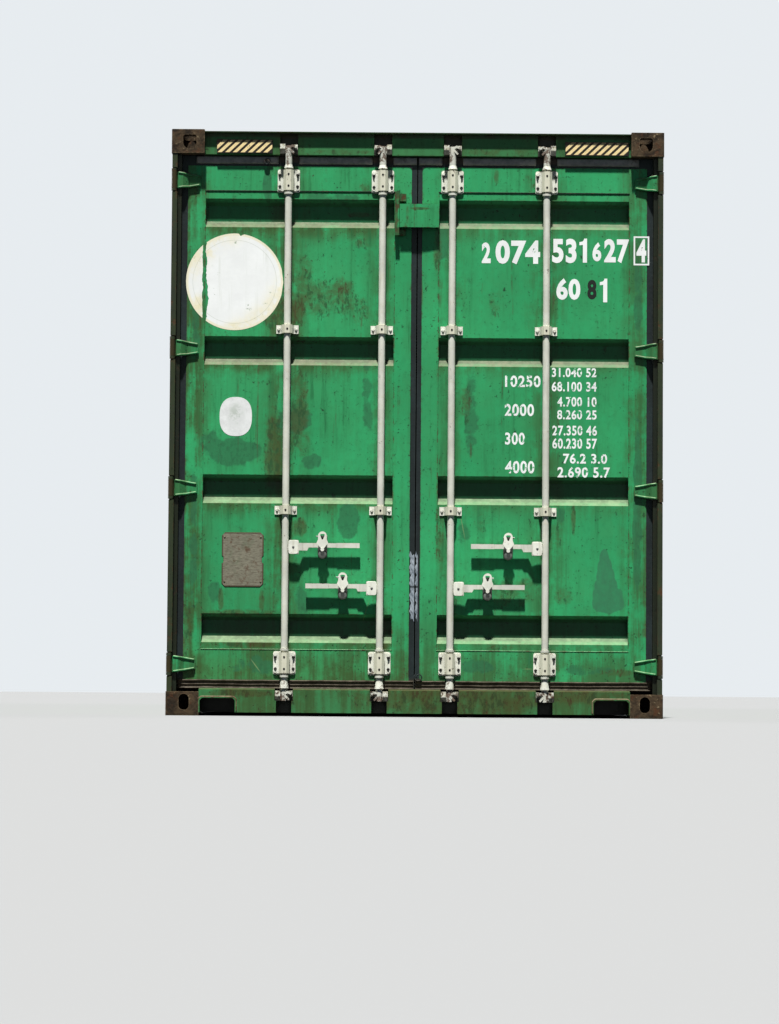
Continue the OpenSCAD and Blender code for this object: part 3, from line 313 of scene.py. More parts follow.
class Paint:
    """Short calls for the nodes of one material."""

    def __init__(self, name):
        self.material = bpy.data.materials.new(name)
        self.material.use_nodes = True
        self.tree = self.material.node_tree
        self.tree.nodes.clear()
        self.coords = self.node("ShaderNodeTexCoord")
        self.place = self.coords.outputs["Object"]
        split = self.node("ShaderNodeSeparateXYZ", Vector=self.place)
        self.x, self.y, self.z = split.outputs
        self.side = self.sum("ABSOLUTE", self.x)

    def node(self, kind, settings=None, **inputs):
        """A new node with its settings and its inputs, which may be values or other nodes' outputs."""
        made = self.tree.nodes.new(kind)
        for key, value in (settings or {}).items():
            setattr(made, key, value)
        for key, value in inputs.items():
            self.put(made.inputs[key.replace("_", " ")], value)
        return made

    def put(self, socket, value):
        """A value into a socket, or a link to it."""
        if isinstance(value, bpy.types.NodeSocket):
            self.tree.links.new(value, socket)
        else:
            socket.default_value = value

    def noise(self, scale, detail=3.0, rough=0.55, stretch=(1, 1, 1), shift=(0, 0, 0), warp=0.0):
        """Cloudy noise of about scale spots a metre, stretched along the axes."""
        at = self.node("ShaderNodeMapping", Vector=self.place, Scale=stretch, Location=shift)
        made = self.node("ShaderNodeTexNoise", Vector=at.outputs[0], Scale=scale, Detail=detail,
                         Roughness=rough, Distortion=warp)
        return made.outputs[0]

    def step(self, value, low, high, to_low=0.0, to_high=1.0):
        """A smooth step of a value from low to high."""
        made = self.node("ShaderNodeMapRange", {"interpolation_type": "SMOOTHSTEP"}, Value=value,
                         From_Min=low, From_Max=high, To_Min=to_low, To_Max=to_high)
        return made.outputs[0]

    def sum(self, operation, first, second=0.0, third=0.0):
        """A calculation with up to three values."""
        made = self.node("ShaderNodeMath", {"operation": operation})
        for socket, value in zip(made.inputs, (first, second, third)):
            self.put(socket, value)
        return made.outputs[0]

    def times_plus(self, first, second, third):
        """The first value times the second, plus the third."""
        return self.sum("MULTIPLY_ADD", first, second, third)

    def less(self, first, second):
        """The first value less the second."""
        return self.sum("SUBTRACT", first, second)

    def away(self, value, middle):
        """How far a value is from a middle one."""
        return self.sum("ABSOLUTE", self.less(value, middle))

    def times(self, *values):
        """The product of several values."""
        total = values[0]
        for value in values[1:]:
            total = self.sum("MULTIPLY", total, value)
        return total

    def most(self, *values):
        """The largest of several values."""
        total = values[0]
        for value in values[1:]:
            total = self.sum("MAXIMUM", total, value)
        return total

    def mix(self, amount, first, second):
        """One colour laid over another."""
        made = self.node("ShaderNodeMix", {"data_type": "RGBA"})
        for socket, value in zip((made.inputs[0], made.inputs[6], made.inputs[7]),
                                 (amount, first, second)):
            if isinstance(value, tuple) and len(value) == 3:
                value = (*value, 1.0)
            self.put(socket, value)
        return made.outputs[2]

    def tones(self, value, low, high, colour, at_low, at_high):
        """A colour that goes from one share of itself to another as a value goes from low to high."""
        return self.mix(self.step(value, low, high), scaled(colour, at_low), scaled(colour, at_high))

    def spot(self, x, z, across, up, power=1.0, lean=0.0):
        """A soft oval spot on the door end: one at its middle, nothing past its edge, leaning right."""
        dz = self.less(self.z, z)
        dx = self.less(self.x, x)
        if lean:
            dx = self.times_plus(dz, -lean, dx)
        u, v = self.sum("DIVIDE", dx, across), self.sum("DIVIDE", dz, up)
        square = self.times_plus(u, u, self.times(v, v))
        return self.step(square, 1.0, 0.0, 0.0, power)

    def spots(self, places):
        """The largest of several spots, each given by x, z, half width, half height and strength."""
        return self.most(*[self.spot(*place) for place in places])

    def near(self, value, middle, reach):
        """One where a value is at its middle, fading to nothing at reach on both sides."""
        away = self.away(value, middle)
        return self.step(away, reach, 0.0)

    def facing(self, axis, low, high):
        """One on faces that turn far enough towards an axis: 0 is x, 1 is y and 2 is z."""
        normal = self.node("ShaderNodeNewGeometry").outputs["Normal"]
        turned = self.node("ShaderNodeSeparateXYZ", Vector=normal).outputs[axis]
        return self.step(turned, low, high)

    def crevices(self, distance):
        """One in corners and crevices, nothing on open faces: ambient occlusion, which the finishes use to
        paint shade.
        """
        made = self.node("ShaderNodeAmbientOcclusion", {"samples": 4}, Distance=distance)
        return self.less(1.0, made.outputs["AO"])

    def edges(self, radius):
        """One at the edges, where the bevelled normal turns from the face's own."""
        round_normal = self.node("ShaderNodeBevel", {"samples": 4}, Radius=radius)
        flat = self.node("ShaderNodeNewGeometry")
        dot = self.node("ShaderNodeVectorMath", {"operation": "DOT_PRODUCT"})
        self.put(dot.inputs[0], round_normal.outputs[0])
        self.put(dot.inputs[1], flat.outputs["Normal"])
        return self.step(dot.outputs["Value"], 0.995, 0.85)

    def finish(self, colour, rough, height=None, depth=0.002, metal=0.0, gloss=0.22):
        """The shader itself, with bump from height; depth is the height's size in metres."""
        shader = self.node("ShaderNodeBsdfPrincipled")
        self.put(shader.inputs["Base Color"], colour if not isinstance(colour, tuple)
                 else (*colour, 1.0))
        self.put(shader.inputs["Roughness"], rough)
        self.put(shader.inputs["Metallic"], metal)
        shader.inputs["Specular IOR Level"].default_value = gloss
        if height is not None:
            bump = self.node("ShaderNodeBump", Height=height, Distance=depth, Strength=1.0)
            self.put(shader.inputs["Normal"], bump.outputs[0])
        out = self.node("ShaderNodeOutputMaterial")
        self.tree.links.new(shader.outputs[0], out.inputs["Surface"])
        return self.material


def scaled(colour, *factors):
    """A colour times one factor, or times a factor for each of red, green and blue."""
    return tuple(float(c) for c in np.clip(np.array(colour) * np.array(factors), 0, 1))


# Near black: soot flecks, and painted shade where the finishes darken hollows and corners
SOOT_AND_SHADE = srgb(22, 28, 18)
OLIVE = srgb(58, 72, 34)
MUD = srgb(66, 58, 34)
DUST = srgb(114, 134, 90)
BEIGE = srgb(108, 108, 82)


class OldPaint(Paint):
    """Old paint on steel: its tone, its rust and the noises that its layers share."""

    def __init__(self, name, tone, rust):
        super().__init__(name)
        self.tone = tone
        self.rust = rust
        self.cloud = self.noise(1.7, 4, 0.6)
        self.patch = self.noise(5.5, 5, 0.7, shift=(2, 8, 1))
        self.blot = self.noise(15, 6, 0.72, shift=(7, 2, 3), warp=0.4)
        self.fine = self.noise(36, 4, 0.68, stretch=(1, 1, 0.7), shift=(3, 1, 7))
        self.speck = self.noise(64, 3, 0.7, shift=(9, 2, 4))
        self.rain = self.noise(24, 5, 0.7, stretch=(1, 1, 0.055), shift=(0, 4, 0))


def below_tops(p, reach):
    """One just below the top of each hollow of a door's panel, fading out at reach below it."""
    return p.most(*[p.times(p.step(p.z, top - reach, top - 0.01), p.step(p.z, top + 0.02, top + 0.005))
                    for top in PANEL_TOPS])


def door_grime(p, base, beside):
    """Olive grime below the tops of a door's hollows and near its foot, thicker to the left."""
    leftward = p.times(p.step(p.x, 0.9, -1.0, 0.45, 1.0), p.step(p.y, LEAF_Y + 0.0005, LEAF_Y + 0.0015))
    beside = p.most(beside, p.times(below_tops(p, 0.13), leftward))
    grimy = p.times(below_tops(p, 0.085), p.step(p.blot, 0.36, 0.56), leftward, 0.62)
    base = p.mix(grimy, base, scaled(OLIVE, 1.5, 1.5, 1.3))
    foot = p.times(p.step(p.z, 0.42, 0.20), p.step(p.x, 1.3, -1.2), 0.5)
    return p.mix(foot, base, scaled(OLIVE, 1.5, 1.7, 1.3)), beside


def stained(p, base, stains):
    """Duller patches with ragged edges."""
    here = p.spots(stains)
    shade = p.noise(10, 5, 0.62, shift=(1, 6, 2), warp=0.3)
    shape = p.times_plus(here, 0.9, p.times_plus(shade, 2.0, -1.0))
    shape = p.times(p.step(shape, 0.30, 0.55), p.step(here, 0.0, 0.15))
    base = p.mix(p.times(shape, 0.72), base, scaled(p.tone, 0.85, 0.42, 0.50))
    darker = p.times(shape, p.step(p.fine, 0.50, 0.6), 0.25)
    return p.mix(darker, base, scaled(p.tone, 0.5, 0.25, 0.3))


def smeared(p, base, smears):
    """Darker smears drawn out by the rain."""
    shape = p.step(p.times_plus(p.rain, 1.1, p.spots(smears)), 0.72, 0.84)
    shape = p.times(shape, p.step(p.fine, 0.3, 0.65, 0.62, 0.82))
    return p.mix(shape, base, scaled(p.tone, 1.15, 0.48, 0.66))


def rust_marked(p, base, rusts):
    """Mottled rust marks in a muddy tinge."""
    here = p.spots(rusts)
    ragged = p.times_plus(p.blot, 2.0, -1.0)
    mottle = p.noise(40, 5, 0.74, stretch=(1, 1, 0.42), shift=(6, 3, 2), warp=0.3)
    marks = p.times(p.step(p.times_plus(here, 0.12, mottle), 0.60, 0.67), p.step(here, 0.0, 0.3))
    tinge = p.times(p.step(p.times_plus(here, 0.7, ragged), 0.08, 0.75), p.step(here, 0.0, 0.4))
    base = p.mix(p.times(tinge, 0.60), base, scaled(MUD, 1.1, 1.2, 0.9))
    mark_tone = p.mix(p.step(p.patch, 0.50, 0.66), scaled(p.tone, 0.5, 0.20, 0.2), scaled(p.rust, 0.75))
    return p.mix(p.times(marks, 0.66), base, mark_tone)


def rust_cover(p, chip, rust_all, low):
    """How rusty the steel is: at its edges, in specks and drips, all over, and where the road splashes."""
    drips = p.noise(44, 3, 0.6, stretch=(1, 1, 0.04), shift=(4, 4, 4))
    rusty = p.most(p.times(p.edges(0.006), p.step(p.fine, 0.48, 0.6), min(1.0, 1.4 * chip)),
                   p.times(p.step(p.speck, 0.64, 0.69), p.step(p.cloud, 0.5, 0.62), chip),
                   p.times(p.step(drips, 0.62, 0.70), p.step(p.patch, 0.45, 0.6), chip * 0.7))
    if rust_all:
        rusty = p.most(rusty, p.step(p.times_plus(p.patch, 0.5, p.times(p.fine, 0.5)),
                                     0.72 - rust_all * 0.45, 0.86 - rust_all * 0.45))
    if low:
        splashed = p.times_plus(p.rain, 0.5, p.times(p.blot, 0.5))
        splashed = p.step(splashed, 0.60 - low * 0.2, 0.72 - low * 0.2)
        rusty = p.most(rusty, p.times(p.step(p.z, 0.30, 0.08), splashed))
    return rusty


def dusted(p, colour, dust):
    """Dust on faces that look up, paler above the middle of the doors."""
    loose = p.step(p.times_plus(p.fine, 0.5, p.times(p.blot, 0.5)), 0.36, 0.58, 1.0, 0.55)
    tint = p.mix(p.step(p.z, 1.35, 1.55), scaled(dust, 1.18, 1.20, 1.45), scaled(dust, 1.08, 0.76, 1.12))
    return p.mix(p.times(p.facing(2, 0.25, 0.6), loose, 0.85), colour, tint)


def aged_paint(name, tone, rust, stains=(), rusts=(), scratches=(), smears=(), olive=0.5, streak=0.6,
               fleck=0.8, chip=0.7, dirt=0.8, dust=DUST, rust_all=0.0, deep=None, post=None, low=0.0,
               recess=None, crown=None, under=None, post_from=1.170):
    """Old paint on steel.

    From the bottom up: cloudy fading, olive grime in the lower places and beside the bars, rain streaks,
    dark flecks, stains, rust with its drips, dust on faces that look up, painted shade in the corners
    and scratches.
    Stains, smears, rusts and scratches are places on the door end, each given by x, z, half width, half
    height, strength and lean.
    Deep, recess and under give painted shade: in the hollows behind the door end and under the sill, in the
    pressed bands' hollows and on the underside; crown gives painted shade mixed with mud along the top edge.
    Post is the colour of the strip past post_from on both sides, next to the posts.
    """
    p = OldPaint(name, tone, rust)
    base = p.tones(p.cloud, 0.3, 0.7, tone, 0.90, 1.14)
    base = p.mix(p.step(p.patch, 0.45, 0.75, 0.0, 0.30), base, scaled(tone, 1.5, 1.12, 1.15))
    base = p.mix(p.step(p.fine, 0.45, 0.75, 0.0, 0.30), base, scaled(tone, 0.55))
    beside = p.most(p.near(p.side, 0.650, 0.15), p.times(p.near(p.side, 0.173, 0.10), 0.7),
                    p.step(p.side, 0.98, 1.09), p.step(p.z, 0.70, 0.14))
    if recess is not None:
        base, beside = door_grime(p, base, beside)
    film = p.times(p.step(p.times_plus(p.rain, 0.55, p.times(p.patch, 0.55)), 0.43, 0.62),
                   p.times_plus(beside, 0.80, 0.20))
    base = p.mix(p.times(film, olive), base, OLIVE)
    wash = p.times(p.step(p.rain, 0.54, 0.70), p.step(p.patch, 0.38, 0.6))
    base = p.mix(p.times(wash, streak), base, scaled(tone, 0.44, 0.36, 0.32))
    dots = p.times(p.step(p.speck, 0.60, 0.65), p.step(p.blot, 0.44, 0.60))
    bigger = p.times(p.step(p.fine, 0.635, 0.68), p.step(p.patch, 0.46, 0.58))
    colour = p.mix(p.times(p.most(dots, bigger), fleck), base, SOOT_AND_SHADE)
    for places, layer in ((stains, stained), (smears, smeared), (rusts, rust_marked)):
        if places:
            colour = layer(p, colour, places)
    rusty = rust_cover(p, chip, rust_all, low)
    rust_tone = p.tones(p.fine, 0.35, 0.65, rust, 0.40, 1.15)
    colour = p.mix(p.times(rusty, 0.92), colour, rust_tone)
    if recess is not None:
        # Painted shade: bluish near black in the hollows of the pressed bands, deeper on the lower bands
        outward = p.node("ShaderNodeSeparateXYZ", Vector=p.coords.outputs["Normal"]).outputs[1]
        hollow = p.times(p.step(p.y, recess, recess + 0.014), p.step(outward, 0.3, 0.0),
                         p.step(p.z, 2.3, 0.9, 0.60, 0.80))
        colour = p.mix(hollow, colour, scaled(SOOT_AND_SHADE, 0.6, 0.8, 1.1))
    if dust is not None:
        colour = dusted(p, colour, dust)
    # Painted shade in corners and crevices from ambient occlusion, broken up by noise
    corner_shade = p.times(p.step(p.crevices(0.05), 0.30, 0.85), p.step(p.fine, 0.25, 0.6))
    colour = p.mix(p.times(corner_shade, dirt), colour, scaled(SOOT_AND_SHADE, 0.8))
    for place in scratches:
        colour = p.mix(p.spot(*place), colour, scaled(DUST, 1.3))
    if deep is not None:
        # Painted shade in the deep hollows behind the door end and under the sill
        behind = p.step(p.y, deep, deep + 0.012)
        hollow = p.times(behind, p.step(p.y, deep + 0.085, deep + 0.075), p.step(p.side, 1.2145, 1.2125))
        under_sill = p.times(behind, p.step(p.z, 0.15, 0.12))
        colour = p.mix(p.most(hollow, under_sill), colour, scaled(SOOT_AND_SHADE, 0.55))
    if crown is not None:
        # Painted shade along the top edge, mixed with mud
        top = p.times(p.step(p.z, crown, crown + 0.010), p.step(p.blot, 0.25, 0.55, 1.0, 0.7))
        colour = p.mix(top, colour, p.mix(p.fine, scaled(SOOT_AND_SHADE, 0.6), scaled(MUD, 0.7)))
    if under is not None:
        # Painted shade low down, away from the sides
        shaded = p.times(p.step(p.z, under, under - 0.02), p.step(p.side, 1.19, 1.17))
        colour = p.mix(shaded, colour, scaled(SOOT_AND_SHADE, 0.30))
    if post is not None:
        worn = p.mix(p.patch, scaled(post, 0.5), scaled(post, 1.1))
        colour = p.mix(p.step(p.side, post_from, post_from + 0.006), colour, worn)
    rough = p.times_plus(p.fine, 0.25, p.step(p.most(rusty, corner_shade), 0.0, 1.0, 0.32, 0.70))
    height = p.times_plus(rusty, -0.35, p.times(p.speck, 0.14))
    height = p.times_plus(p.noise(2.4, 2, 0.5, shift=(7, 7, 1)), 2.4, height)
    return p.finish(colour, rough, height, 0.002, gloss=0.16)


def plain_finish(name, colour, rough=0.6, speckle=0.3, metal=0.0, rust=None, rust_amount=0.0, grain=60):
    """A small part's finish: a tone with fine speckle, painted shade in its corners and some rust."""
    p = Paint(name)
    fine = p.noise(grain, 4, 0.65)
    base = p.tones(fine, 0.3, 0.75, colour, 1 + speckle * 0.4, 1 - speckle)
    if rust is not None:
        worn = p.step(p.noise(grain * 0.4, 5, 0.75, shift=(2, 2, 2)), 0.72 - rust_amount * 0.4,
                      0.86 - rust_amount * 0.4)
        base = p.mix(worn, base, rust)
    # Painted shade in the corners, from ambient occlusion
    grime = p.step(p.crevices(0.03), 0.3, 0.95, 0.0, 0.7)
    base = p.mix(grime, base, scaled(colour, 0.12))
    return p.finish(base, p.step(fine, 0.2, 0.8, rough - 0.1, rough + 0.12), fine, 0.0006, metal)


def gear_finish(name, colour, rust, yellow=0.3, strap=False):
    """Off-white paint of the locking gear, with rust round the bolts and grey rain marks,
    and grime with painted shade in its corners.
    """
    p = Paint(name)
    fine = p.noise(48, 4, 0.65)
    streaks = p.noise(55, 3, 0.6, stretch=(1, 1, 0.08), shift=(1, 0, 0))
    base = p.tones(p.noise(8, 4, 0.6), 0.3, 0.7, colour, 0.84, 1.06)
    base = p.mix(p.step(streaks, 0.5, 0.78, 0, 0.5), base, scaled(colour, 0.60, 0.58, 0.50))
    base = p.mix(p.step(fine, 0.5, 0.75, 0.0, yellow), base, scaled(colour, 0.86, 0.74, 0.52))
    if strap:
        front = p.step(p.y, DOOR_Y + 0.046, DOOR_Y + 0.040, 0.0, 0.55)
        base = p.mix(front, base, scaled(colour, 0.74, 0.70, 0.56))
    # Brown grime with painted shade in the corners, from ambient occlusion
    grime = p.times(p.step(p.crevices(0.035), 0.35, 0.9), p.step(fine, 0.25, 0.6))
    base = p.mix(p.times(grime, 0.85), base, srgb(44, 36, 24))
    ends = p.most(p.step(p.z, 0.36, 0.06), p.step(p.z, 2.62, 2.80))
    spread = p.noise(30, 5, 0.75, shift=(5, 1, 1))
    rusty = p.step(p.times_plus(ends, 0.17, spread), 0.64, 0.71)
    rusty = p.most(rusty, p.times(p.edges(0.003), p.step(spread, 0.50, 0.60)))
    rust_tone = p.mix(fine, scaled(rust, 0.55), scaled(rust, 1.7))
    out = p.mix(p.times(rusty, 0.85), base, rust_tone)
    height = p.times_plus(rusty, -0.4, p.times(fine, 0.3))
    return p.finish(out, p.step(rusty, 0, 1, 0.42, 0.85), height, 0.0012)


def keeper_finish(name, colour, rust):
    """Cam keepers: worn paint with rust, near black on their lower half, painted shade in the bore."""
    p = Paint(name)
    fine = p.noise(60, 4, 0.7, warp=0.4)
    base = p.mix(p.step(fine, 0.42, 0.58), scaled(colour, 0.62, 0.58, 0.48), scaled(colour, 1.05))
    base = p.mix(p.step(p.noise(34, 4, 0.7, shift=(3, 3, 0)), 0.50, 0.60), base, scaled(rust, 0.8))
    lower = []
    for node, share in (("cam_keepers_top", 0.52), ("cam_keepers_bottom", 0.46)):
        low, high = (corner[2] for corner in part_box(node))
        edge = low + (high - low) * share
        lower.append(p.times(p.step(p.z, edge + 0.004, edge - 0.004), p.step(p.z, low - 0.02, low - 0.01)))
    base = p.mix(p.times(p.most(*lower), 0.93), base, scaled(SOOT_AND_SHADE, 0.5))
    # Painted shade in the bore and corners, from ambient occlusion
    base = p.mix(p.step(p.crevices(0.03), 0.25, 0.8, 0.0, 0.9), base, scaled(SOOT_AND_SHADE, 0.4))
    return p.finish(base, 0.7, fine, 0.0015)


def cast_finish(name, colour, rust):
    """Cast steel: brown mottle, beige chips, light edges that are worn paint and painted highlight,
    and painted shade in the hollows.
    """
    p = Paint(name)
    blot = p.noise(13, 6, 0.75, warp=0.5)
    fine = p.noise(46, 4, 0.7, shift=(3, 1, 7))
    base = p.mix(p.step(blot, 0.38, 0.62), scaled(colour, 0.42), scaled(colour, 1.55, 1.45, 1.25))
    rusty = p.step(p.noise(20, 5, 0.75, shift=(1, 5, 2)), 0.52, 0.66, 0.0, 0.8)
    base = p.mix(rusty, base, scaled(rust, 1.15))
    chips = p.times(p.step(fine, 0.60, 0.67), p.step(blot, 0.46, 0.58))
    base = p.mix(p.times(chips, 0.7), base, srgb(164, 146, 112))
    # Light edges: worn paint and a painted highlight
    base = p.mix(p.times(p.edges(0.006), p.step(fine, 0.35, 0.6), 0.6), base, srgb(150, 132, 102))
    # Painted shade in the hollows, from ambient occlusion
    base = p.mix(p.step(p.crevices(0.06), 0.3, 0.9, 0.0, 0.85), base, scaled(SOOT_AND_SHADE, 0.8))
    return p.finish(base, p.step(chips, 0.0, 1.0, 0.85, 0.6), p.times_plus(blot, 2.0, fine), 0.0022,
                    gloss=0.12)


def rubber_finish(name, colour):
    """Gasket rubber: near black, brown with dust under the header and where the sill splashes,
    and a painted highlight on its edges.
    """
    p = Paint(name)
    fine = p.noise(40, 4, 0.65)
    cloud = p.noise(6, 5, 0.7, stretch=(1, 1, 0.4))
    base = p.tones(cloud, 0.35, 0.7, colour, 0.65, 1.7)
    top = p.times(p.step(p.z, 2.735, 2.755), p.step(p.side, 1.10, 1.06))
    base = p.mix(p.times(top, p.step(cloud, 0.25, 0.6), 0.8), base, srgb(96, 84, 74))
    low = p.step(p.z, 0.195, 0.172)
    base = p.mix(p.times(low, 0.85), base, srgb(56, 54, 42))
    red = p.times(low, p.step(p.times_plus(p.x, 0.10, cloud), 0.46, 0.62))
    base = p.mix(p.times(red, 0.8), base, srgb(60, 40, 26))
    # Painted highlight on the gaskets' edges, stronger low down
    edge = p.times(p.edges(0.004), p.step(fine, 0.3, 0.6), p.times_plus(low, 0.6, 0.15))
    base = p.mix(edge, base, srgb(120, 124, 112))
    return p.finish(base, 0.72, fine, 0.0015)


def worn_print(name, colour, under, worn=0.35, grain=26, shift=0.0):
    """Number paint with the paint under it showing through where it has flaked."""
    p = Paint(name)
    flakes = p.noise(grain, 5, 0.75, shift=(shift, 0, shift))
    base = p.tones(p.noise(9, 3, 0.6), 0.3, 0.7, colour, 0.88, 1.0)
    gone = p.step(flakes, 0.74 - 0.3 * worn, 0.77 - 0.3 * worn)
    return p.finish(p.mix(gone, base, tuple(under)), 0.55, gone, 0.0004)


def disc_finish(name, colour, centre, radius):
    """The round label: white, with a cream rim, cream stains at two sides and small chips."""
    p = Paint(name)
    cloud = p.noise(9, 5, 0.7)
    dx, dz = p.less(p.x, centre[0]), p.less(p.z, centre[1])
    away = p.sum("SQRT", p.times_plus(dx, dx, p.times(dz, dz)))
    across = p.away(dz, dx)
    stain = p.times(p.step(away, radius * 0.45, radius), p.step(across, 0.10, 0.30))
    stain = p.most(stain, p.spots(((-1.035, 2.300, 0.060, 0.060, 1.0), (-1.085, 2.025, 0.050, 0.080, 1.0),
                                   (-0.700, 2.020, 0.040, 0.110, 0.8), (-0.880, 1.925, 0.120, 0.030, 0.9))))
    cream = p.most(p.step(away, radius - 0.016, radius - 0.008, 0.0, 0.75),
                   p.times(stain, p.step(cloud, 0.35, 0.65)))
    base = p.tones(cloud, 0.3, 0.7, colour, 0.93, 1.0)
    base = p.mix(p.times(cream, 0.8), base, srgb(238, 226, 176))
    rain = p.times(p.step(p.noise(30, 4, 0.7, stretch=(1, 1, 0.06)), 0.52, 0.74), p.step(cloud, 0.36, 0.6))
    base = p.mix(p.times(rain, 0.32), base, srgb(176, 186, 160))
    chips = p.times(p.step(p.noise(40, 4, 0.7, shift=(4, 0, 2)), 0.64, 0.68), p.step(cloud, 0.50, 0.60))
    base = p.mix(p.times(chips, 0.7), base, srgb(120, 150, 110))
    rings = p.step(p.away(away, radius * 0.86), 0.0022, 0.0008)
    base = p.mix(p.times(rings, 0.28), base, srgb(150, 160, 130))
    return p.finish(base, 0.45, p.times_plus(chips, -1.0, cloud), 0.0005)


def oval_finish(name, colour):
    """The oval label: white, rubbed to a pale grey-green in patches round its middle."""
    p = Paint(name)
    cloud = p.noise(26, 5, 0.7)
    base = p.tones(cloud, 0.3, 0.7, colour, 0.76, 0.90)
    worn = p.times(p.step(cloud, 0.42, 0.60), p.spot(OVAL_AT[0], OVAL_AT[1] + 0.010, 0.052, 0.072))
    base = p.mix(p.times(worn, 0.55), base, srgb(150, 164, 144))
    return p.finish(base, 0.5, cloud, 0.0005)


def plate_finish(name, colour, rust):
    """The data plate: dull metal with faint worn rows, scratches and brown edges."""
    p = Paint(name)
    fine = p.noise(60, 4, 0.7)
    rows = p.noise(90, 3, 0.7, stretch=(0.45, 1, 1.6), shift=(0, 0, 5))
    base = p.mix(p.noise(12, 5, 0.7), scaled(colour, 0.70), scaled(colour, 1.25))
    base = p.mix(p.step(rows, 0.50, 0.60, 0.0, 0.55), base, scaled(colour, 0.46, 0.42, 0.40))
    base = p.mix(p.step(rows, 0.44, 0.36, 0.0, 0.40), base, scaled(colour, 1.5))
    marks = bpy.context.scene.container_marks
    border = []
    for value, middle, half in ((p.x, PLATE_AT[0], marks.plate_w / 2), (p.z, PLATE_AT[1], marks.plate_h / 2)):
        away = p.away(value, middle)
        border.append(p.step(away, half - 0.009, half - 0.004))
    base = p.mix(p.times(p.most(*border), 0.75), base, scaled(rust, 0.6, 0.7, 0.7))
    base = p.mix(p.step(p.noise(26, 5, 0.75, shift=(2, 2, 2)), 0.54, 0.68, 0.0, 0.8), base, scaled(rust, 1.1))
    base = p.mix(p.step(p.noise(7, 4, 0.7, shift=(5, 0, 2)), 0.5, 0.7, 0.0, 0.5), base, srgb(78, 96, 70))
    base = p.mix(p.times(p.edges(0.005), 0.85), base, scaled(rust, 0.8))
    return p.finish(base, p.step(fine, 0.2, 0.8, 0.5, 0.75), rows, 0.0005, 0.15)


def tape_finish(name):
    """Silver tape: creased metal foil with dark cracks and dirt."""
    p = Paint(name)
    crease = p.noise(20, 5, 0.7, warp=0.5)
    base = p.mix(p.step(crease, 0.35, 0.65), srgb(112, 122, 130), srgb(158, 166, 172))
    crack = p.times(p.near(p.z, 0.640, 0.010), p.step(crease, 0.4, 0.5))
    base = p.mix(p.most(crack, p.step(crease, 0.66, 0.72)), base, srgb(36, 42, 44))
    return p.finish(base, p.step(crease, 0.3, 0.7, 0.5, 0.7), crease, 0.001, 0.3)


def stripe_finish(name, colour, rust):
    """Stripe foil: faded and dirty, darker at its top under the header's lip with dirt and painted shade."""
    p = Paint(name)
    cloud = p.noise(30, 4, 0.7)
    base = p.tones(cloud, 0.3, 0.7, colour, 0.8, 1.0)
    # Darker top under the header's lip: dirt and painted shade
    base = p.mix(p.step(p.z, 2.835, 2.850, 0.0, 0.20), base, scaled(rust, 0.8, 0.9, 0.8))
    base = p.mix(p.step(cloud, 0.60, 0.70, 0.0, 0.6), base, scaled(rust, 0.8))
    return p.finish(base, 0.55, cloud, 0.0006)


def ply_finish(name):
    """Plywood floor boards across the container: seams, long grain and scuffs."""
    p = Paint(name)
    grain = p.noise(14, 5, 0.65, stretch=(5, 0.35, 1), warp=0.4)
    base = p.mix(p.step(grain, 0.3, 0.7), srgb(122, 84, 48), srgb(166, 126, 82))
    board = p.sum("FRACT", p.sum("DIVIDE", p.y, 1.22))
    seam = p.sum("ADD", p.step(board, 0.012, 0.0), p.step(board, 0.988, 1.0))
    half = p.step(p.side, 0.012, 0.004)
    seam = p.most(seam, half)
    base = p.mix(p.times(seam, 0.85), base, (0.02, 0.014, 0.008))
    scuffs = p.step(p.noise(5, 5, 0.75, stretch=(1, 0.25, 1), shift=(3, 3, 3)), 0.5, 0.72)
    base = p.mix(p.times(scuffs, 0.5), base, srgb(82, 66, 50))
    return p.finish(base, 0.72, p.less(grain, p.times(seam, 2.0)), 0.001)


# The narrow stains at x -1.095 are painted shade of the bend where the hinge stile meets the panel
LEFT_STAINS = (
    (-0.905, 1.300, 0.175, 0.095, 1.0), (-1.010, 1.330, 0.080, 0.120, 0.9),
    (-0.520, 1.253, 0.080, 0.055, 0.9), (-0.600, 1.450, 0.130, 0.090, 0.8),
    (-0.330, 0.980, 0.070, 0.150, 0.8), (-0.430, 2.560, 0.190, 0.050, 0.6),
    (-0.780, 0.250, 0.170, 0.060, 0.6), (-1.095, 0.900, 0.030, 0.480, 0.7),
    (-1.095, 1.950, 0.030, 0.330, 0.6), (-0.745, 2.640, 0.032, 0.120, 1.0),
    (-0.980, 0.600, 0.050, 0.080, 0.7), (-0.560, 0.550, 0.050, 0.140, 0.5),
    (-0.240, 1.700, 0.045, 0.400, 0.5), (-0.280, 2.330, 0.060, 0.050, 0.5),
)
LEFT_RUSTS = (
    (-0.565, 2.140, 0.075, 0.180, 0.75), (-0.480, 2.060, 0.110, 0.130, 0.85),
    (-0.370, 2.070, 0.090, 0.140, 0.80), (-0.290, 2.020, 0.080, 0.110, 0.60),
    (-0.270, 2.340, 0.050, 0.040, 0.60), (-0.705, 2.010, 0.075, 0.190, 1.00),
    (-0.590, 2.000, 0.060, 0.170, 1.00), (-0.575, 1.480, 0.065, 0.150, 0.90),
    (-0.755, 0.560, 0.020, 0.085, 1.0), (-0.955, 0.570, 0.020, 0.075, 1.0),
    (-0.150, 0.400, 0.060, 0.220, 0.75), (-0.705, 1.300, 0.060, 0.360, 0.90),
    (-0.580, 1.380, 0.080, 0.180, 0.55), (-0.850, 0.505, 0.240, 0.025, 0.8),
    (-0.570, 1.620, 0.050, 0.140, 0.7), (-0.800, 0.350, 0.240, 0.020, 0.7),
    (-0.570, 0.930, 0.050, 0.060, 0.9), (-0.290, 2.490, 0.080, 0.020, 0.9),
    (-0.260, 2.620, 0.040, 0.030, 0.7), (-1.120, 0.400, 0.030, 0.200, 0.6),
)
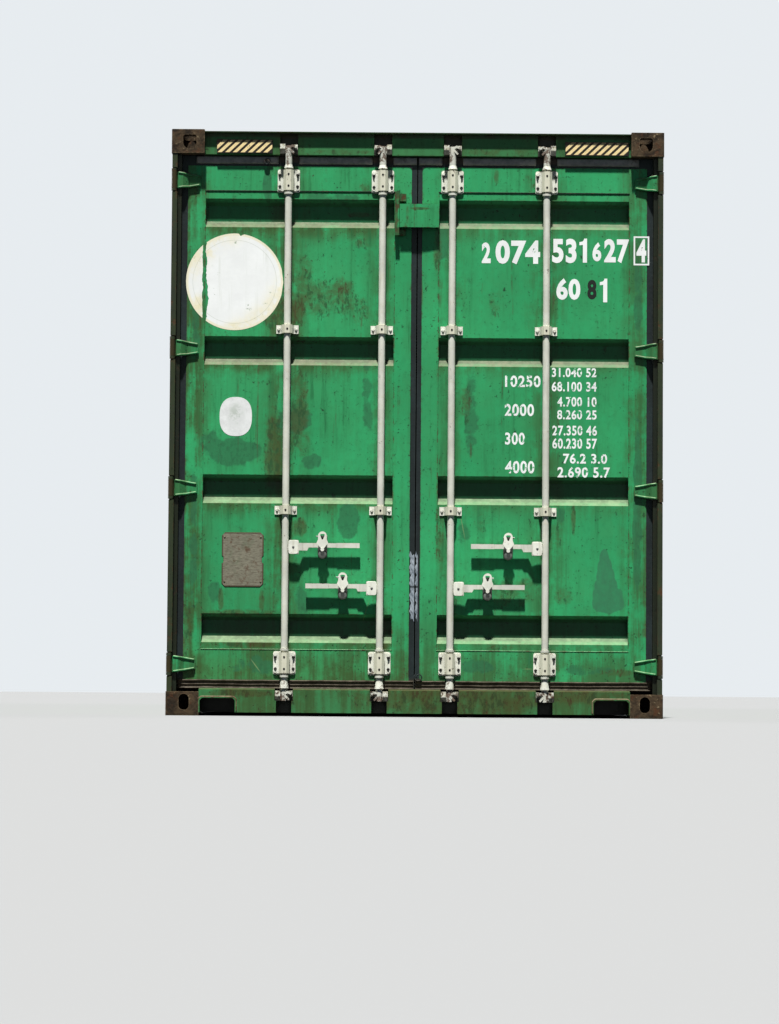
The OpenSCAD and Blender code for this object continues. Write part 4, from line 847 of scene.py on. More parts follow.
# The narrow stains at x 1.095 are painted shade of the bend where the hinge stile meets the panel
RIGHT_STAINS = (
    (0.270, 1.520, 0.050, 0.350, 0.6), (0.120, 2.350, 0.050, 0.250, 0.6),
    (1.095, 1.000, 0.030, 0.600, 0.8), (1.095, 2.100, 0.030, 0.400, 0.6),
    (0.720, 1.000, 0.040, 0.060, 0.5), (0.300, 0.250, 0.120, 0.050, 0.7),
    (0.850, 0.240, 0.180, 0.040, 0.7), (0.230, 0.900, 0.060, 0.080, 0.6),
)
RIGHT_SMEARS = (
    (0.950, 0.565, 0.096, 0.060, 0.95), (0.948, 0.605, 0.086, 0.070, 0.95),
    (0.944, 0.650, 0.070, 0.075, 0.95), (0.940, 0.695, 0.056, 0.075, 0.95),
    (0.936, 0.740, 0.044, 0.070, 0.9), (0.932, 0.785, 0.028, 0.060, 0.9),
)
RIGHT_RUSTS = (
    (0.725, 0.600, 0.080, 0.055, 0.65), (0.480, 0.620, 0.160, 0.110, 0.62),
    (0.780, 0.985, 0.016, 0.110, 1.0), (0.430, 0.345, 0.080, 0.025, 0.8),
    (0.560, 2.660, 0.050, 0.050, 0.35), (0.390, 2.680, 0.018, 0.060, 0.9),
    (0.180, 0.500, 0.050, 0.150, 0.55), (0.660, 0.290, 0.070, 0.070, 0.5),
    (1.000, 0.225, 0.120, 0.025, 0.7), (0.245, 1.560, 0.040, 0.160, 0.55),
    (0.700, 0.900, 0.060, 0.090, 0.45), (0.120, 0.900, 0.030, 0.500, 0.5),
    (0.330, 0.960, 0.060, 0.070, 0.4), (0.390, 2.050, 0.060, 0.100, 0.35),
    (0.100, 2.300, 0.030, 0.150, 0.7),
)
BEAM_MUD = (
    (0.250, 0.090, 0.700, 0.100, 0.9), (0.800, 0.105, 0.300, 0.050, 1.0),
    (-0.080, 0.090, 0.260, 0.080, 0.8), (-0.860, 0.110, 0.200, 0.030, 1.0),
    (0.450, 2.800, 0.500, 0.030, 0.5), (-0.380, 2.795, 0.200, 0.020, 0.6),
)
BOX_RUSTS = (
    (0.010, 2.512, 0.060, 0.010, 1.2), (-0.060, 2.400, 0.020, 0.050, 0.9),
    (0.000, 2.385, 0.120, 0.014, 0.8), (-0.050, 2.480, 0.012, 0.060, 0.7),
)
OVERLAP_RUSTS = (
    (-0.085, 2.590, 0.060, 0.060, 1.6), (-0.085, 2.385, 0.060, 0.045, 1.6),
    (-0.110, 2.480, 0.016, 0.140, 1.3),
)
LEFT_SCRATCHES = (
    (-0.782, 0.248, 0.004, 0.040, 0.8, -0.75), (-0.240, 0.520, 0.003, 0.060, 0.5, 0.3),
)
RIGHT_SCRATCHES = (
    (0.232, 0.945, 0.003, 0.085, 0.6, -0.2), (0.560, 0.240, 0.030, 0.003, 0.6, 0.0),
)


def coat():
    """Every finish by name, made once."""
    paint = bpy.context.scene.container_paint
    radius = bpy.context.scene.container_marks.disc / 2
    rust, door, frame_tone = tuple(paint.rust), tuple(paint.door), tuple(paint.frame)
    post, casting = tuple(paint.post), tuple(paint.casting)
    return {
        "left_door": aged_paint("left_door_paint", door, rust, LEFT_STAINS, LEFT_RUSTS, LEFT_SCRATCHES,
                                olive=0.85, streak=0.75, post=post, recess=PANEL_Y + 0.010),
        "right_door": aged_paint("right_door_paint", door, rust, RIGHT_STAINS, RIGHT_RUSTS, RIGHT_SCRATCHES,
                                 RIGHT_SMEARS, olive=0.72, streak=0.6, post=post, recess=PANEL_Y + 0.010),
        "box": aged_paint("box_paint", door, rust, rusts=BOX_RUSTS, olive=0.9, streak=0.8, chip=1.0),
        "blade": aged_paint("blade_paint", scaled(door, 0.9, 0.84, 0.84), rust, olive=0.6, chip=1.0,
                            rust_all=0.20, dust=scaled(DUST, 1.25), post=scaled(MUD, 0.8), post_from=1.186),
        "roof": aged_paint("roof_paint", scaled(door, 0.42, 0.36, 0.34), rust, olive=0.4, streak=0.2,
                           fleck=0.5, chip=0.6, dust=None, rust_all=0.14),
        "overlap": aged_paint("overlap_paint", door, rust, rusts=OVERLAP_RUSTS, olive=1.0, chip=1.0,
                              rust_all=0.58, dust=BEIGE),
        "walls": aged_paint("wall_paint", door, rust, olive=0.5, streak=0.6, fleck=0.6, chip=0.5, dirt=0.6,
                            low=0.4),
        "frame": aged_paint("frame_paint", frame_tone, rust, olive=0.7, chip=0.9, dirt=0.9, dust=BEIGE,
                            rust_all=0.24, low=0.6, under=0.160),
        "door_beams": aged_paint("beam_paint", frame_tone, scaled(rust, 0.8), olive=0.7, chip=1.0, dirt=0.9,
                                 dust=scaled(MUD, 0.9), rust_all=0.10, deep=DOOR_Y + 0.050, low=0.15,
                                 rusts=BEAM_MUD, crown=2.860),
        "post": aged_paint("post_paint", post, rust, olive=0.3, chip=0.6, dirt=0.8, dust=None, rust_all=0.40,
                           deep=DOOR_Y + 0.030),
        "casting": cast_finish("casting_steel", casting, rust),
        "keeper": keeper_finish("keeper_paint", tuple(paint.gear), rust),
        "gear": gear_finish("gear_paint", scaled(paint.gear, 0.92), rust),
        "bracket": gear_finish("bracket_paint", scaled(paint.gear, 1.10), rust, 0.2, True),
        "catch": gear_finish("catch_paint", scaled(paint.gear, 1.15), rust, 0.12),
        "rubber": rubber_finish("gasket_rubber", tuple(paint.rubber)),
        # The lips' colour is dusty rubber made paler: painted light, so that they look lit in the header's
        # shade
        "lip": plain_finish("seal_lip", srgb(186, 180, 170), 0.75, 0.3, 0.0, srgb(110, 96, 82), 0.40, 30),
        "sill_lip": plain_finish("sill_lip", srgb(76, 68, 54), 0.75, 0.5, 0.0, srgb(48, 40, 26), 0.55, 34),
        "floor": ply_finish("floor_ply"),
        "vent": plain_finish("vent_plastic", scaled(frame_tone, 0.9), 0.5),
        "bolt": plain_finish("bolt_steel", srgb(92, 82, 66), 0.5, 0.5, 0.4, rust, 0.5, 160),
        "dark": plain_finish("dark_steel", srgb(34, 32, 28), 0.6, 0.4, 0.2, rust, 0.3),
        "cup": plain_finish("cup_steel", srgb(104, 106, 100), 0.4, 0.4, 0.5, rust, 0.2),
        # Near-black green bead: a painted shadow of the step where the panel meets the upper rail
        "weld": plain_finish("weld_painted_shadow", srgb(26, 44, 28), 0.8, 0.5, 0.0, rust, 0.35, 40),
        "plate": plate_finish("plate_metal", srgb(126, 122, 104), rust),
        "disc": disc_finish("disc_label", tuple(paint.marks), DISC_AT, radius),
        "oval": oval_finish("oval_label", tuple(paint.marks)),
        "silver": tape_finish("silver_tape"),
        "black": stripe_finish("stripe_black", srgb(26, 20, 14), rust),
        "yellow": stripe_finish("stripe_yellow", srgb(252, 226, 164), rust),
        "numbers": worn_print("number_paint", tuple(paint.marks), door, 0.2),
        "rows": worn_print("row_paint", tuple(paint.marks), door, 0.55, 34, 3.0),
        "ink": plain_finish("number_black", srgb(16, 22, 16), 0.6, 0.3),
        "trim": plain_finish("trim_light", srgb(120, 108, 80), 0.65, 0.4, 0.0, rust, 0.55, 40),
    }


FINISHES = {}

NODE_FINISH = (
    ("castings", "casting"), ("rear_post", "post"), ("hinge_lugs", "post"),
    ("lashing", "casting"), ("keepers", "keeper"), ("bracket", "bracket"), ("retainer", "cup"),
    ("_bar", "gear"), ("_handle", "gear"), ("_catch", "catch"), ("gasket", "rubber"),
    ("hinge_blades", "blade"), ("floor", "floor"), ("ventilators", "vent"),
    ("side_wall", "walls"), ("front_wall", "walls"), ("roof", "roof"), ("left_", "left_door"),
    ("overlap_plate", "overlap"), ("right_", "right_door"), ("lock_box", "box"),
    ("door_", "door_beams"),
)


def finish_of(node):
    """The name of the finish of a CAD node, from the first word that its own name has."""
    for word, finish in NODE_FINISH:
        if word in node and not (word in ("left_", "right_") and not node.startswith(word)):
            return finish
    return "frame"


# Operators


class CONTAINER_OT_stage(bpy.types.Operator):
    """Set the floor, the lamps, the surroundings and the camera"""

    bl_idname = "container.stage"
    bl_label = "Stage"

    def execute(self, context):
        light = context.scene.container_light
        floor = bpy.data.meshes.new("floor")
        verts, faces = sheet([[(x, y, 0) for y in FLOOR_Y] for x in FLOOR_X])
        floor.from_pydata(verts.tolist(), [], faces)
        ground = bpy.data.objects.new("floor", floor)
        context.scene.collection.objects.link(ground)
        ground.data.materials.append(floor_finish())
        lamp("sun", SUN_WAY, light.sun, light.sun_size)
        for name, way in FILL_WAYS.items():
            lamp(name, way, light.fill, FILL_SIZE)
        surroundings(light.world)
        view = bpy.data.cameras.new("camera")
        view.lens = CAMERA_LENS
        view.sensor_width = 36
        view.clip_end = 500
        eye = bpy.data.objects.new("camera", view)
        context.scene.collection.objects.link(eye)
        place = Matrix.Translation(CAMERA_AT)
        for axis, degrees in CAMERA_TURNS:
            place = place @ Matrix.Rotation(math.radians(degrees), 4, axis)
        eye.matrix_world = place
        context.scene.camera = eye
        context.scene.view_settings.view_transform = "Standard"
        return {"FINISHED"}


def lamp(name, direction, strength, size):
    """A far lamp whose light travels along direction."""
    data = bpy.data.lights.new(name, "SUN")
    data.energy = strength
    data.angle = size
    obj = bpy.data.objects.new(name, data)
    bpy.context.scene.collection.objects.link(obj)
    obj.rotation_euler = Vector(direction).to_track_quat("-Z", "Y").to_euler()


def seen_ray(tree):
    """One for rays from the camera, from reflections and through glass."""
    path = tree.nodes.new("ShaderNodeLightPath")
    total = path.outputs["Is Camera Ray"]
    for name in ("Is Glossy Ray", "Is Transmission Ray"):
        both = tree.nodes.new("ShaderNodeMath")
        both.operation = "MAXIMUM"
        tree.links.new(total, both.inputs[0])
        tree.links.new(path.outputs[name], both.inputs[1])
        total = both.outputs[0]
    return total


def two_faced(tree, kind, lit, seen, out_kind, strengths=None):
    """A shader of one colour for the light that it gives and another for what is seen of it."""
    shaders = []
    for n, colour in enumerate((lit, seen)):
        made = tree.nodes.new(kind)
        made.inputs["Color"].default_value = (*colour, 1)
        if strengths:
            made.inputs["Strength"].default_value = strengths[n]
        shaders.append(made)
    mix = tree.nodes.new("ShaderNodeMixShader")
    tree.links.new(seen_ray(tree), mix.inputs[0])
    tree.links.new(shaders[0].outputs[0], mix.inputs[1])
    tree.links.new(shaders[1].outputs[0], mix.inputs[2])
    out = tree.nodes.new(out_kind)
    tree.links.new(mix.outputs[0], out.inputs["Surface"])


def floor_finish():
    """A pale floor to the camera and to reflections, and a darker one to the light that it returns."""
    material = bpy.data.materials.new("floor_pale")
    material.use_nodes = True
    material.node_tree.nodes.clear()
    two_faced(material.node_tree, "ShaderNodeBsdfDiffuse", (0.022, 0.022, 0.021), (0.262, 0.262, 0.256),
              "ShaderNodeOutputMaterial")
    return material


def surroundings(strength):
    """A world that lights softly and shows pale to the camera and to reflections."""
    world = bpy.data.worlds.new("studio")
    bpy.context.scene.world = world
    world.use_nodes = True
    world.node_tree.nodes.clear()
    two_faced(world.node_tree, "ShaderNodeBackground", (0.52, 0.92, 1.60), (0.80, 0.84, 0.87),
              "ShaderNodeOutputWorld", (strength, 1.0))


class CONTAINER_OT_steel(bpy.types.Operator):
    """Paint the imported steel, rubber and plywood"""

    bl_idname = "container.steel"
    bl_label = "Paint"

    def execute(self, context):
        FINISHES.update(coat())
        for name, obj in frame["nodes"].items():
            obj.data.materials.clear()
            obj.data.materials.append(FINISHES[finish_of(name)])
        return {"FINISHED"}


class CONTAINER_OT_header(bpy.types.Operator):
    """Build the folded header, set back behind its lip and the cam keepers"""

    bl_idname = "container.header"
    bl_label = "Header"

    def execute(self, context):
        source = frame["nodes"]["door_header"].data
        shell = bmesh.new()
        shell.from_mesh(source)
        bmesh.ops.remove_doubles(shell, verts=shell.verts, dist=1e-5)
        mesh = bpy.data.meshes.new("header_shell")
        shell.to_mesh(mesh)
        shell.free()
        co = vertices(mesh)
        co[:, 1] = np.interp(co[:, 1] - DOOR_Y, HEADER_FROM, HEADER_TO) + DOOR_Y
        obj = ready("header_shell", reshaped(mesh, co, "door_beams"), "root")
        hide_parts("door_header")
        return {"FINISHED"}


def stripes(x0, x1, z0, z1, pitch, y):
    """The black board and its slanting stripes.

    Each stripe is a parallelogram that leans to the right by 0.98 of the board's height and is cut off at
    the board's ends.
    """
    board = plate([(x0, z0), (x1, z0), (x1, z1), (x0, z1)], y, STRIPE_BOARD_THICK, 0.0008)
    lean, width, shapes = (z1 - z0) * 0.98, pitch * 0.56, []
    for x in np.arange(x0 + 0.004 - pitch, x1 - 0.012, pitch):
        share = np.linspace(max(0.0, (x0 + 0.005 - width - x) / lean), min(1.0, (x1 - 0.006 - x) / lean), 8)
        left = np.maximum(x + lean * share, x0 + 0.002)
        right = np.minimum(x + lean * share + width, x1 - 0.002)
        rows = z0 + 0.003 + (z1 - z0 - 0.005) * share
        outline = np.concatenate([np.stack([right, rows], -1), np.stack([left, rows], -1)[::-1]])
        shapes.append(plate(outline, y - STRIPE_BOARD_THICK, 0.0006))
    return board, together(shapes)


class CONTAINER_OT_header_stripes(bpy.types.Operator):
    """Put the striped boards on the header"""

    bl_idname = "container.header_stripes"
    bl_label = "Header stripes"

    def execute(self, context):
        marks = context.scene.container_marks
        for side, x0, x1 in STRIPE_BOARDS:
            board, bars = stripes(x0, x1, *STRIPE_BOARD_Z, marks.stripe_pitch, HEADER_Y)
            piece(side + "_stripe_board", board, "black", "root")
            piece(side + "_stripes", bars, "yellow", "root")
        return {"FINISHED"}


def written(name, text, x0, x1, z0, z1, y, finish, bold):
    """Painted figures on the right door that fill the field from x0 to x1 and z0 to z1, standing on y."""
    curve = bpy.data.curves.new(name, "FONT")
    curve.body = text
    curve.extrude = 0.01
    curve.offset = bold
    curve.space_character = 1.10
    curve.resolution_u = 4
    source = bpy.data.objects.new(name + "_source", curve)
    bpy.context.scene.collection.objects.link(source)
    bpy.context.view_layer.update()
    mesh = bpy.data.meshes.new_from_object(source.evaluated_get(
        bpy.context.evaluated_depsgraph_get()))
    bpy.data.objects.remove(source)
    co = vertices(mesh)
    low, high = co.min(0), co.max(0)
    share = (co - low) / (high - low)
    placed = np.stack([x0 + (x1 - x0) * share[:, 0], y - PRINT_THICK * share[:, 2],
                       z0 + (z1 - z0) * share[:, 1]], -1)
    return ready(name, reshaped(mesh, placed, finish), "right_door")


NUMBER_ROWS = (
    ("number_first", "2", 0.3200, 0.3642, 2.2486, 2.3519, "numbers"),
    ("number_group", "074", 0.3880, 0.6096, 2.2440, 2.3640, "numbers"),
    ("number_left", "53", 0.6690, 0.7900, 2.2520, 2.3740, "numbers"),
    ("number_middle", "6", 0.8690, 0.9130, 2.2620, 2.3570, "numbers"),
    ("number_right", "27", 0.9272, 1.0510, 2.2540, 2.3740, "numbers"),
    ("number_check", "4", 1.0870, 1.1360, 2.2580, 2.3740, "numbers"),
    ("size_left", "60", 0.6906, 0.8096, 2.0690, 2.1760, "numbers"),
    ("size_middle", "8", 0.8440, 0.8900, 2.0720, 2.1700, "ink"),
)
ONE = (
    (0.46, 0.0), (1.0, 0.0), (1.0, 1.0), (0.62, 1.0), (0.56, 0.93), (0.42, 0.88), (0.0, 0.85),
    (0.0, 0.72), (0.46, 0.74),
)
ONE_PLACES = (("number_one", (0.8040, 2.2550), (0.0380, 0.1200)),
              ("size_right", (0.9060, 2.0580), (0.0370, 0.1180)))
NUMBER_BOX = ((1.073, 2.2434), (1.1505, 2.2434), (1.1505, 2.388), (1.073, 2.388))
NUMBER_BOX_INNER = (0.80, 0.89)
LABEL_ROWS = (
    ("10250", 0.4389, 0.6144, 1.6325, 1.6901), ("2000", 0.4377, 0.5829, 1.4888, 1.5494),
    ("300", 0.4404, 0.5381, 1.3463, 1.4072), ("4000", 0.4411, 0.5861, 1.2045, 1.2669),
)
VALUE_ROWS = (
    ("31.040 52", 0.6700, 0.8916, 1.6841, 1.7300), ("68.100 34", 0.6700, 0.8919, 1.6128, 1.6615),
    ("4.700 10", 0.6975, 0.8922, 1.5368, 1.5857), ("8.260 25", 0.6975, 0.8924, 1.4742, 1.5211),
    ("27.350 46", 0.6740, 0.8946, 1.3937, 1.4442), ("60.230 57", 0.6745, 0.8948, 1.3282, 1.3806),
    ("76.2 3.0", 0.7275, 0.9452, 1.2547, 1.3051), ("2.690 5.7", 0.7000, 0.9596, 1.1856, 1.2386),
)


class CONTAINER_OT_door_numbers(bpy.types.Operator):
    """Paint the plain numbers on the right door"""

    bl_idname = "container.door_numbers"
    bl_label = "Door numbers"

    def execute(self, context):
        for name, text, x0, x1, z0, z1, finish in NUMBER_ROWS:
            y = LEAF_Y if name == "number_check" else PANEL_Y
            written(name, text, x0, x1, z0, z1, y, finish, 0.042)
        for name, corner, size in ONE_PLACES:
            figure = np.array(corner) + np.array(ONE) * size
            piece(name, plate(figure, PANEL_Y, PRINT_THICK), "numbers", "right_door")
        outer = np.array(NUMBER_BOX)
        inner = outer.mean(0) + (outer - outer.mean(0)) * np.array(NUMBER_BOX_INNER)
        ring = [facing_ring(outer, LEAF_Y), facing_ring(outer, LEAF_Y - PRINT_THICK),
                facing_ring(inner, LEAF_Y - PRINT_THICK), facing_ring(inner, LEAF_Y)]
        piece("number_box", loft(ring + ring[:1], caps=False), "numbers", "right_door")
        for kind, rows in (("label", LABEL_ROWS), ("value", VALUE_ROWS)):
            for n, (text, x0, x1, z0, z1) in enumerate(rows):
                written("%s_%d" % (kind, n), text, x0, x1, z0, z1, PANEL_Y, "rows", 0.026)
        return {"FINISHED"}


def disc_part(left, right, centre, radius, y, notch=0.0):
    """A strip of a round label between two cut sides.

    Across the strip u runs from the left cut to the right one, which both wander; up the strip z runs between
    the circle's two arcs. The top arc has a small notch.
    """
    rows = len(left)
    u = np.linspace(0, 1, 44)[:, None]
    v = np.linspace(-1, 1, rows)[None]
    x = left[None] + (right - left)[None] * u
    off = np.clip(x, centre[0] - radius, centre[0] + radius) - centre[0]
    reach = np.sqrt(np.maximum(radius ** 2 - off ** 2, 0))
    dent = notch * np.exp(-((off - 0.030) / 0.006) ** 2) * np.clip(v, 0, 1) ** 8
    z = centre[1] + v * (reach - dent)
    return sheet(np.stack([x, np.full_like(x, y - 0.0006), z], -1))


def wander(rows, reach, seed):
    """A ragged line: smoothed chance steps of about the given reach."""
    rng = np.random.default_rng(seed)
    return reach * np.convolve(rng.normal(0, 1, rows + 6), np.ones(7) / 3, "valid")


class CONTAINER_OT_door_labels(bpy.types.Operator):
    """Put the round label, the oval label and the data plate on the left door"""

    bl_idname = "container.door_labels"
    bl_label = "Door labels"

    def execute(self, context):
        marks = context.scene.container_marks
        r, rows = marks.disc / 2, 70
        v = np.linspace(-1, 1, rows)
        cut_left = -1.0625 + wander(rows, 0.0022, 1)
        cut_right = -1.0450 + 0.011 * np.exp(-((v + 0.40) / 0.35) ** 2) + wander(rows, 0.0030, 2)
        parts = [disc_part(np.full(rows, DISC_AT[0] - r), cut_left, DISC_AT, r, LEAF_Y),
                 disc_part(cut_right, np.full(rows, DISC_AT[0] + r), DISC_AT, r, PANEL_Y, 0.014)]
        piece("round_label", together(parts), "disc", "left_door", facing=True)
        oval = round_outline(0.080, 48, 0.097 / 0.080, 2.5) + np.array(OVAL_AT)
        piece("oval_label", plate(oval, PANEL_Y, 0.0008), "oval", "left_door")
        w, h, cut = marks.plate_w / 2, marks.plate_h / 2, 0.016
        at = np.array(PLATE_AT)
        half = np.array([(w - cut, -h), (w, -h + cut), (w, -0.02), (w - 0.008, -0.014), (w - 0.008, 0.014),
                         (w, 0.02), (w, h - cut), (w - cut, h)])
        piece("data_plate", plate(np.concatenate([half, -half]) + at, PANEL_Y, PLATE_THICK, 0.0008),
              "plate", "left_door")
        spots = [(at[0] + sx * (w - 0.014), PANEL_Y - PLATE_THICK, at[1] + sz * (h - 0.024))
                 for sx in (-1, 1) for sz in (-1, 1)]
        rivets = copies(dome(0.005, 0.0025, 10), spots)
        piece("data_plate_rivets", rivets, "bolt", "left_door", True)
        return {"FINISHED"}


def bead(start, end, radius, seed):
    """A weld bead: a half-round profile carried along a line, its radius swelling with every ripple.

    The radius at s is r (1 + 0.18 sin(2 pi s / 7 mm)) plus a little chance.
    """
    start, end = np.array(start, float), np.array(end, float)
    length = np.linalg.norm(end - start)
    along = (end - start) / length
    side = np.cross(along, TO_FRONT)
    count = int(length / 0.0035) + 2
    s = np.linspace(0, length, count)
    rng = np.random.default_rng(seed)
    r = radius * (1 + 0.18 * np.sin(2 * np.pi * s / 0.007) + 0.12 * rng.normal(0, 1, count))
    a = np.linspace(0, np.pi, 5)
    middle = start + along * s[:, None]
    rings = (middle[:, None] + side * (r[:, None] * np.cos(a))[..., None]
             + TO_FRONT * (r[:, None] * 0.7 * np.sin(a))[..., None])
    return loft(rings)


class CONTAINER_OT_welds(bpy.types.Operator):
    """Lay the weld beads round the panels and beside the posts"""

    bl_idname = "container.welds"
    bl_label = "Weld beads"

    def execute(self, context):
        for side in ("left", "right"):
            low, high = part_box(side + "_door_panel")
            beads = [bead((low[0], LEAF_Y, z), (high[0], LEAF_Y, z), 0.0028, seed)
                     for seed, z in ((1, low[2]), (2, high[2]))]
            beads += [bead((x, PANEL_Y, low[2]), (x, PANEL_Y, high[2]), 0.0022, seed)
                      for seed, x in ((3, low[0] + 0.001), (4, high[0] - 0.001))]
            # The upper rail's bead is near black: a painted shadow of the step under the rail
            door_piece(side, "rail_weld", beads[1], "weld", True)
            others = together(beads[:1] + beads[2:])
            door_piece(side, "panel_welds", others, side + "_door", True)
        return {"FINISHED"}


def edging(path, radius, proud):
    """A half-round rim carried along a path on the door end.

    Each ring is the path's point plus r cos a across the path and r times proud sin a towards the door end.
    """
    path = np.asarray(path, float)
    along = np.gradient(path, axis=0)
    along /= np.linalg.norm(along, axis=1)[:, None]
    across = np.cross(along, TO_FRONT)
    across /= np.linalg.norm(across, axis=1)[:, None]
    a = np.linspace(0, np.pi, 7)
    rings = (path[:, None] + across[:, None] * (radius * np.cos(a))[None, :, None]
             + TO_FRONT * (radius * proud * np.sin(a))[None, :, None])
    return loft(rings)


def dense(corners, step=0.006):
    """A line through corners with a point about every step."""
    corners = np.asarray(corners, float)
    run = np.concatenate([[0], np.cumsum(np.linalg.norm(np.diff(corners, axis=0), axis=1))])
    s = np.linspace(0, run[-1], int(run[-1] / step) + 2)
    return np.stack([np.interp(s, run, corners[:, k]) for k in range(corners.shape[1])], -1)


# A blade rim's corners: inwards from the container's side, behind the door end, away from the hinge
BLADE_RIM = (
    (0.034, 0.0280, 0.0370), (0.056, 0.0280, 0.0335), (0.087, 0.0535, 0.0290), (0.136, 0.0535, 0.0205),
)
# A sill rim's corners: across from the opening's middle, and their height
SILL_RIM = (
    (-0.0925, 0.020), (-0.0925, 0.081), (-0.080, 0.0935), (0.080, 0.0935), (0.0925, 0.081), (0.0925, 0.020),
)


class CONTAINER_OT_rims(bpy.types.Operator):
    """Put the rolled rims on the hinge blades and round the sill's openings"""

    bl_idname = "container.rims"
    bl_label = "Rims"

    def execute(self, context):
        half = -CAD_BOX[0][0]
        for side, sign in (("left", -1), ("right", 1)):
            shapes = []
            for z in HINGE_Z:
                for up in (1, -1):
                    path = [(sign * (half - u), DOOR_Y + v, z + up * h) for u, v, h in BLADE_RIM]
                    shapes.append(edging(dense(path), 0.0062, 0.95))
            door_piece(side, "blade_rims", together(shapes), "blade", True)
        shapes = []
        for x in SILL_OPENING_X:
            path = [(x + u, DOOR_Y + 0.0045, z) for u, z in SILL_RIM]
            shapes.append(edging(dense(path), 0.0042, 0.9))
        piece("sill_opening_rims", together(shapes), "trim", "root", True)
        return {"FINISHED"}


class CONTAINER_OT_fasteners(bpy.types.Operator):
    """Put the bolts on the brackets and the guides, and the pins on the straps over the bars"""

    bl_idname = "container.fasteners"
    bl_label = "Fasteners"

    def execute(self, context):
        for side in ("left", "right"):
            xs = [x for name, x in BAR_X.items() if name.startswith(side)]
            wing = [(x + dx, LEAF_Y - 0.0095, z + dz) for x in xs for z in BRACKET_Z
                    for dx in BRACKET_BOLT_X for dz in BRACKET_BOLT_Z]
            guides = [(x + dx, PANEL_Y - 0.005, z) for x in xs for z in GUIDE_Z for dx in GUIDE_BOLT_X]
            dots = [(x, STRAP_Y, z + dz) for x in xs for z in BRACKET_Z for dz in BRACKET_BOLT_Z]
            dots += [(x, STRAP_Y, z) for x in xs for z in GUIDE_Z]
            door_piece(side, "bracket_bolts", copies(bolt(0.0060, 0.005), wing), "dark")
            door_piece(side, "guide_bolts", copies(bolt(0.0065, 0.005), guides), "gear")
            pins = copies(dome(0.0052, 0.0028, 10), dots)
            door_piece(side, "strap_pins", pins, "dark", True)
        return {"FINISHED"}


def rounded(width, height, corner, count=6):
    """A rectangle with round corners: a quarter circle of points at each corner."""
    t = np.linspace(0, np.pi / 2, count)
    arc = corner * np.stack([np.cos(t), np.sin(t)], -1)
    parts = []
    for n, (sx, sz) in enumerate(((1, 1), (-1, 1), (-1, -1), (1, -1))):
        turned = arc @ np.array([[np.cos(n * np.pi / 2), np.sin(n * np.pi / 2)],
                                 [-np.sin(n * np.pi / 2), np.cos(n * np.pi / 2)]])
        parts.append(turned + np.array([sx * (width / 2 - corner), sz * (height / 2 - corner)]))
    return np.concatenate(parts)


class CONTAINER_OT_hub_covers(bpy.types.Operator):
    """Put the rounded cover plates and their rivets on the handle hubs"""

    bl_idname = "container.hub_covers"
    bl_label = "Hub covers"

    def execute(self, context):
        for name, x in BAR_X.items():
            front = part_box(name + "_handle")[0][1]
            at = np.array([x + HANDLE_SIDE[name] * HUB_OUT, HANDLE_Z[name] - HUB_DOWN])
            cover = plate(rounded(*HUB_COVER) + at, front + 0.0004, 0.0024, 0.0010)
            piece(name + "_hub_cover", cover, "catch", name + "_bar")
            rivet = copies(dome(0.0062, 0.0026, 14), [(at[0], front - 0.0020, at[1])])
            piece(name + "_hub_rivet", rivet, "cup", name + "_bar", True)
        return {"FINISHED"}


class CONTAINER_OT_seal(bpy.types.Operator):
    """Put the silver patch and the loose curls on the door gaskets"""

    bl_idname = "container.seal"
    bl_label = "Gasket patch"

    def execute(self, context):
        u, v = np.meshgrid(np.linspace(0, 1, 22), np.linspace(0, 1, 120), indexing="ij")
        for side, x0, x1 in SEAL_PATCHES:
            rough = 0.003 * np.sin(31 * v) + 0.002 * np.sin(77 * v + 1)
            top = PATCH_TOP - 0.020 * u + 0.006 * np.sin(9 * u)
            low = PATCH_LOW + 0.010 * np.sin(4 * u)
            z = low + (top - low) * v
            lean = 0.004 * (1 - v) if side == "left" else 0.0
            x = x0 + lean + rough * (1 - u) + (x1 - x0 - lean) * u
            fold = 0.0010 + 0.0011 * (np.sin(46 * v + 5 * u) * np.sin(19 * v) + 1) * np.sin(np.pi * u)
            sink = 0.0022 * np.clip((x + 0.032) / 0.010, 0, 1)
            patch = sheet(np.stack([x, LEAF_Y - fold + sink, z], -1))
            door_piece(side, "seal_patch", patch, "silver", True, facing=True)
        for side, at, size, turn in CURLS:
            door_piece(side, "gasket_curl", curl(at, size, turn), "rubber", True)
        return {"FINISHED"}


LIP_SPANS = ((0.005, 0.121), (0.225, 0.588), (0.692, 1.098))
LIP_LOOSE = 0.0655
TOP_LIP = (
    (0.066, 2.7725), (0.0600, 2.7715), (0.0575, 2.7660), (0.0570, 2.7560), (0.0580, 2.7440),
    (0.0605, 2.7370), (0.066, 2.7350),
)
LOW_LIP = (
    (0.066, 0.1780), (0.0570, 0.1765), (0.0545, 0.1735), (0.0560, 0.1705), (0.0605, 0.1690),
    (0.0610, 0.1580), (0.0585, 0.1565), (0.0580, 0.1535), (0.0610, 0.1515), (0.0620, 0.1400),
    (0.0570, 0.1385), (0.0560, 0.1355), (0.066, 0.1330),
)


def lip(x0, x1, profile, seed):
    """A gasket's outer lip: its profile in depth and height carried along x, with small chance waves.

    Only the points less than LIP_LOOSE behind the door end move with the waves.
    """
    rng = np.random.default_rng(seed)
    x = np.linspace(x0, x1, int((x1 - x0) / 0.012) + 3)
    wave = np.convolve(rng.normal(0, 1, len(x) + 6), np.ones(7) / 7, "valid")
    profile = np.array(profile)
    loose = profile[None, :, 0] < LIP_LOOSE
    depth = profile[None, :, 0] + 0.0012 * wave[:, None] * loose
    height = profile[None, :, 1] + 0.0016 * wave[:, None] * loose
    across = np.broadcast_to(x[:, None], depth.shape)
    return loft(np.stack([across, DOOR_Y + depth, height], -1))


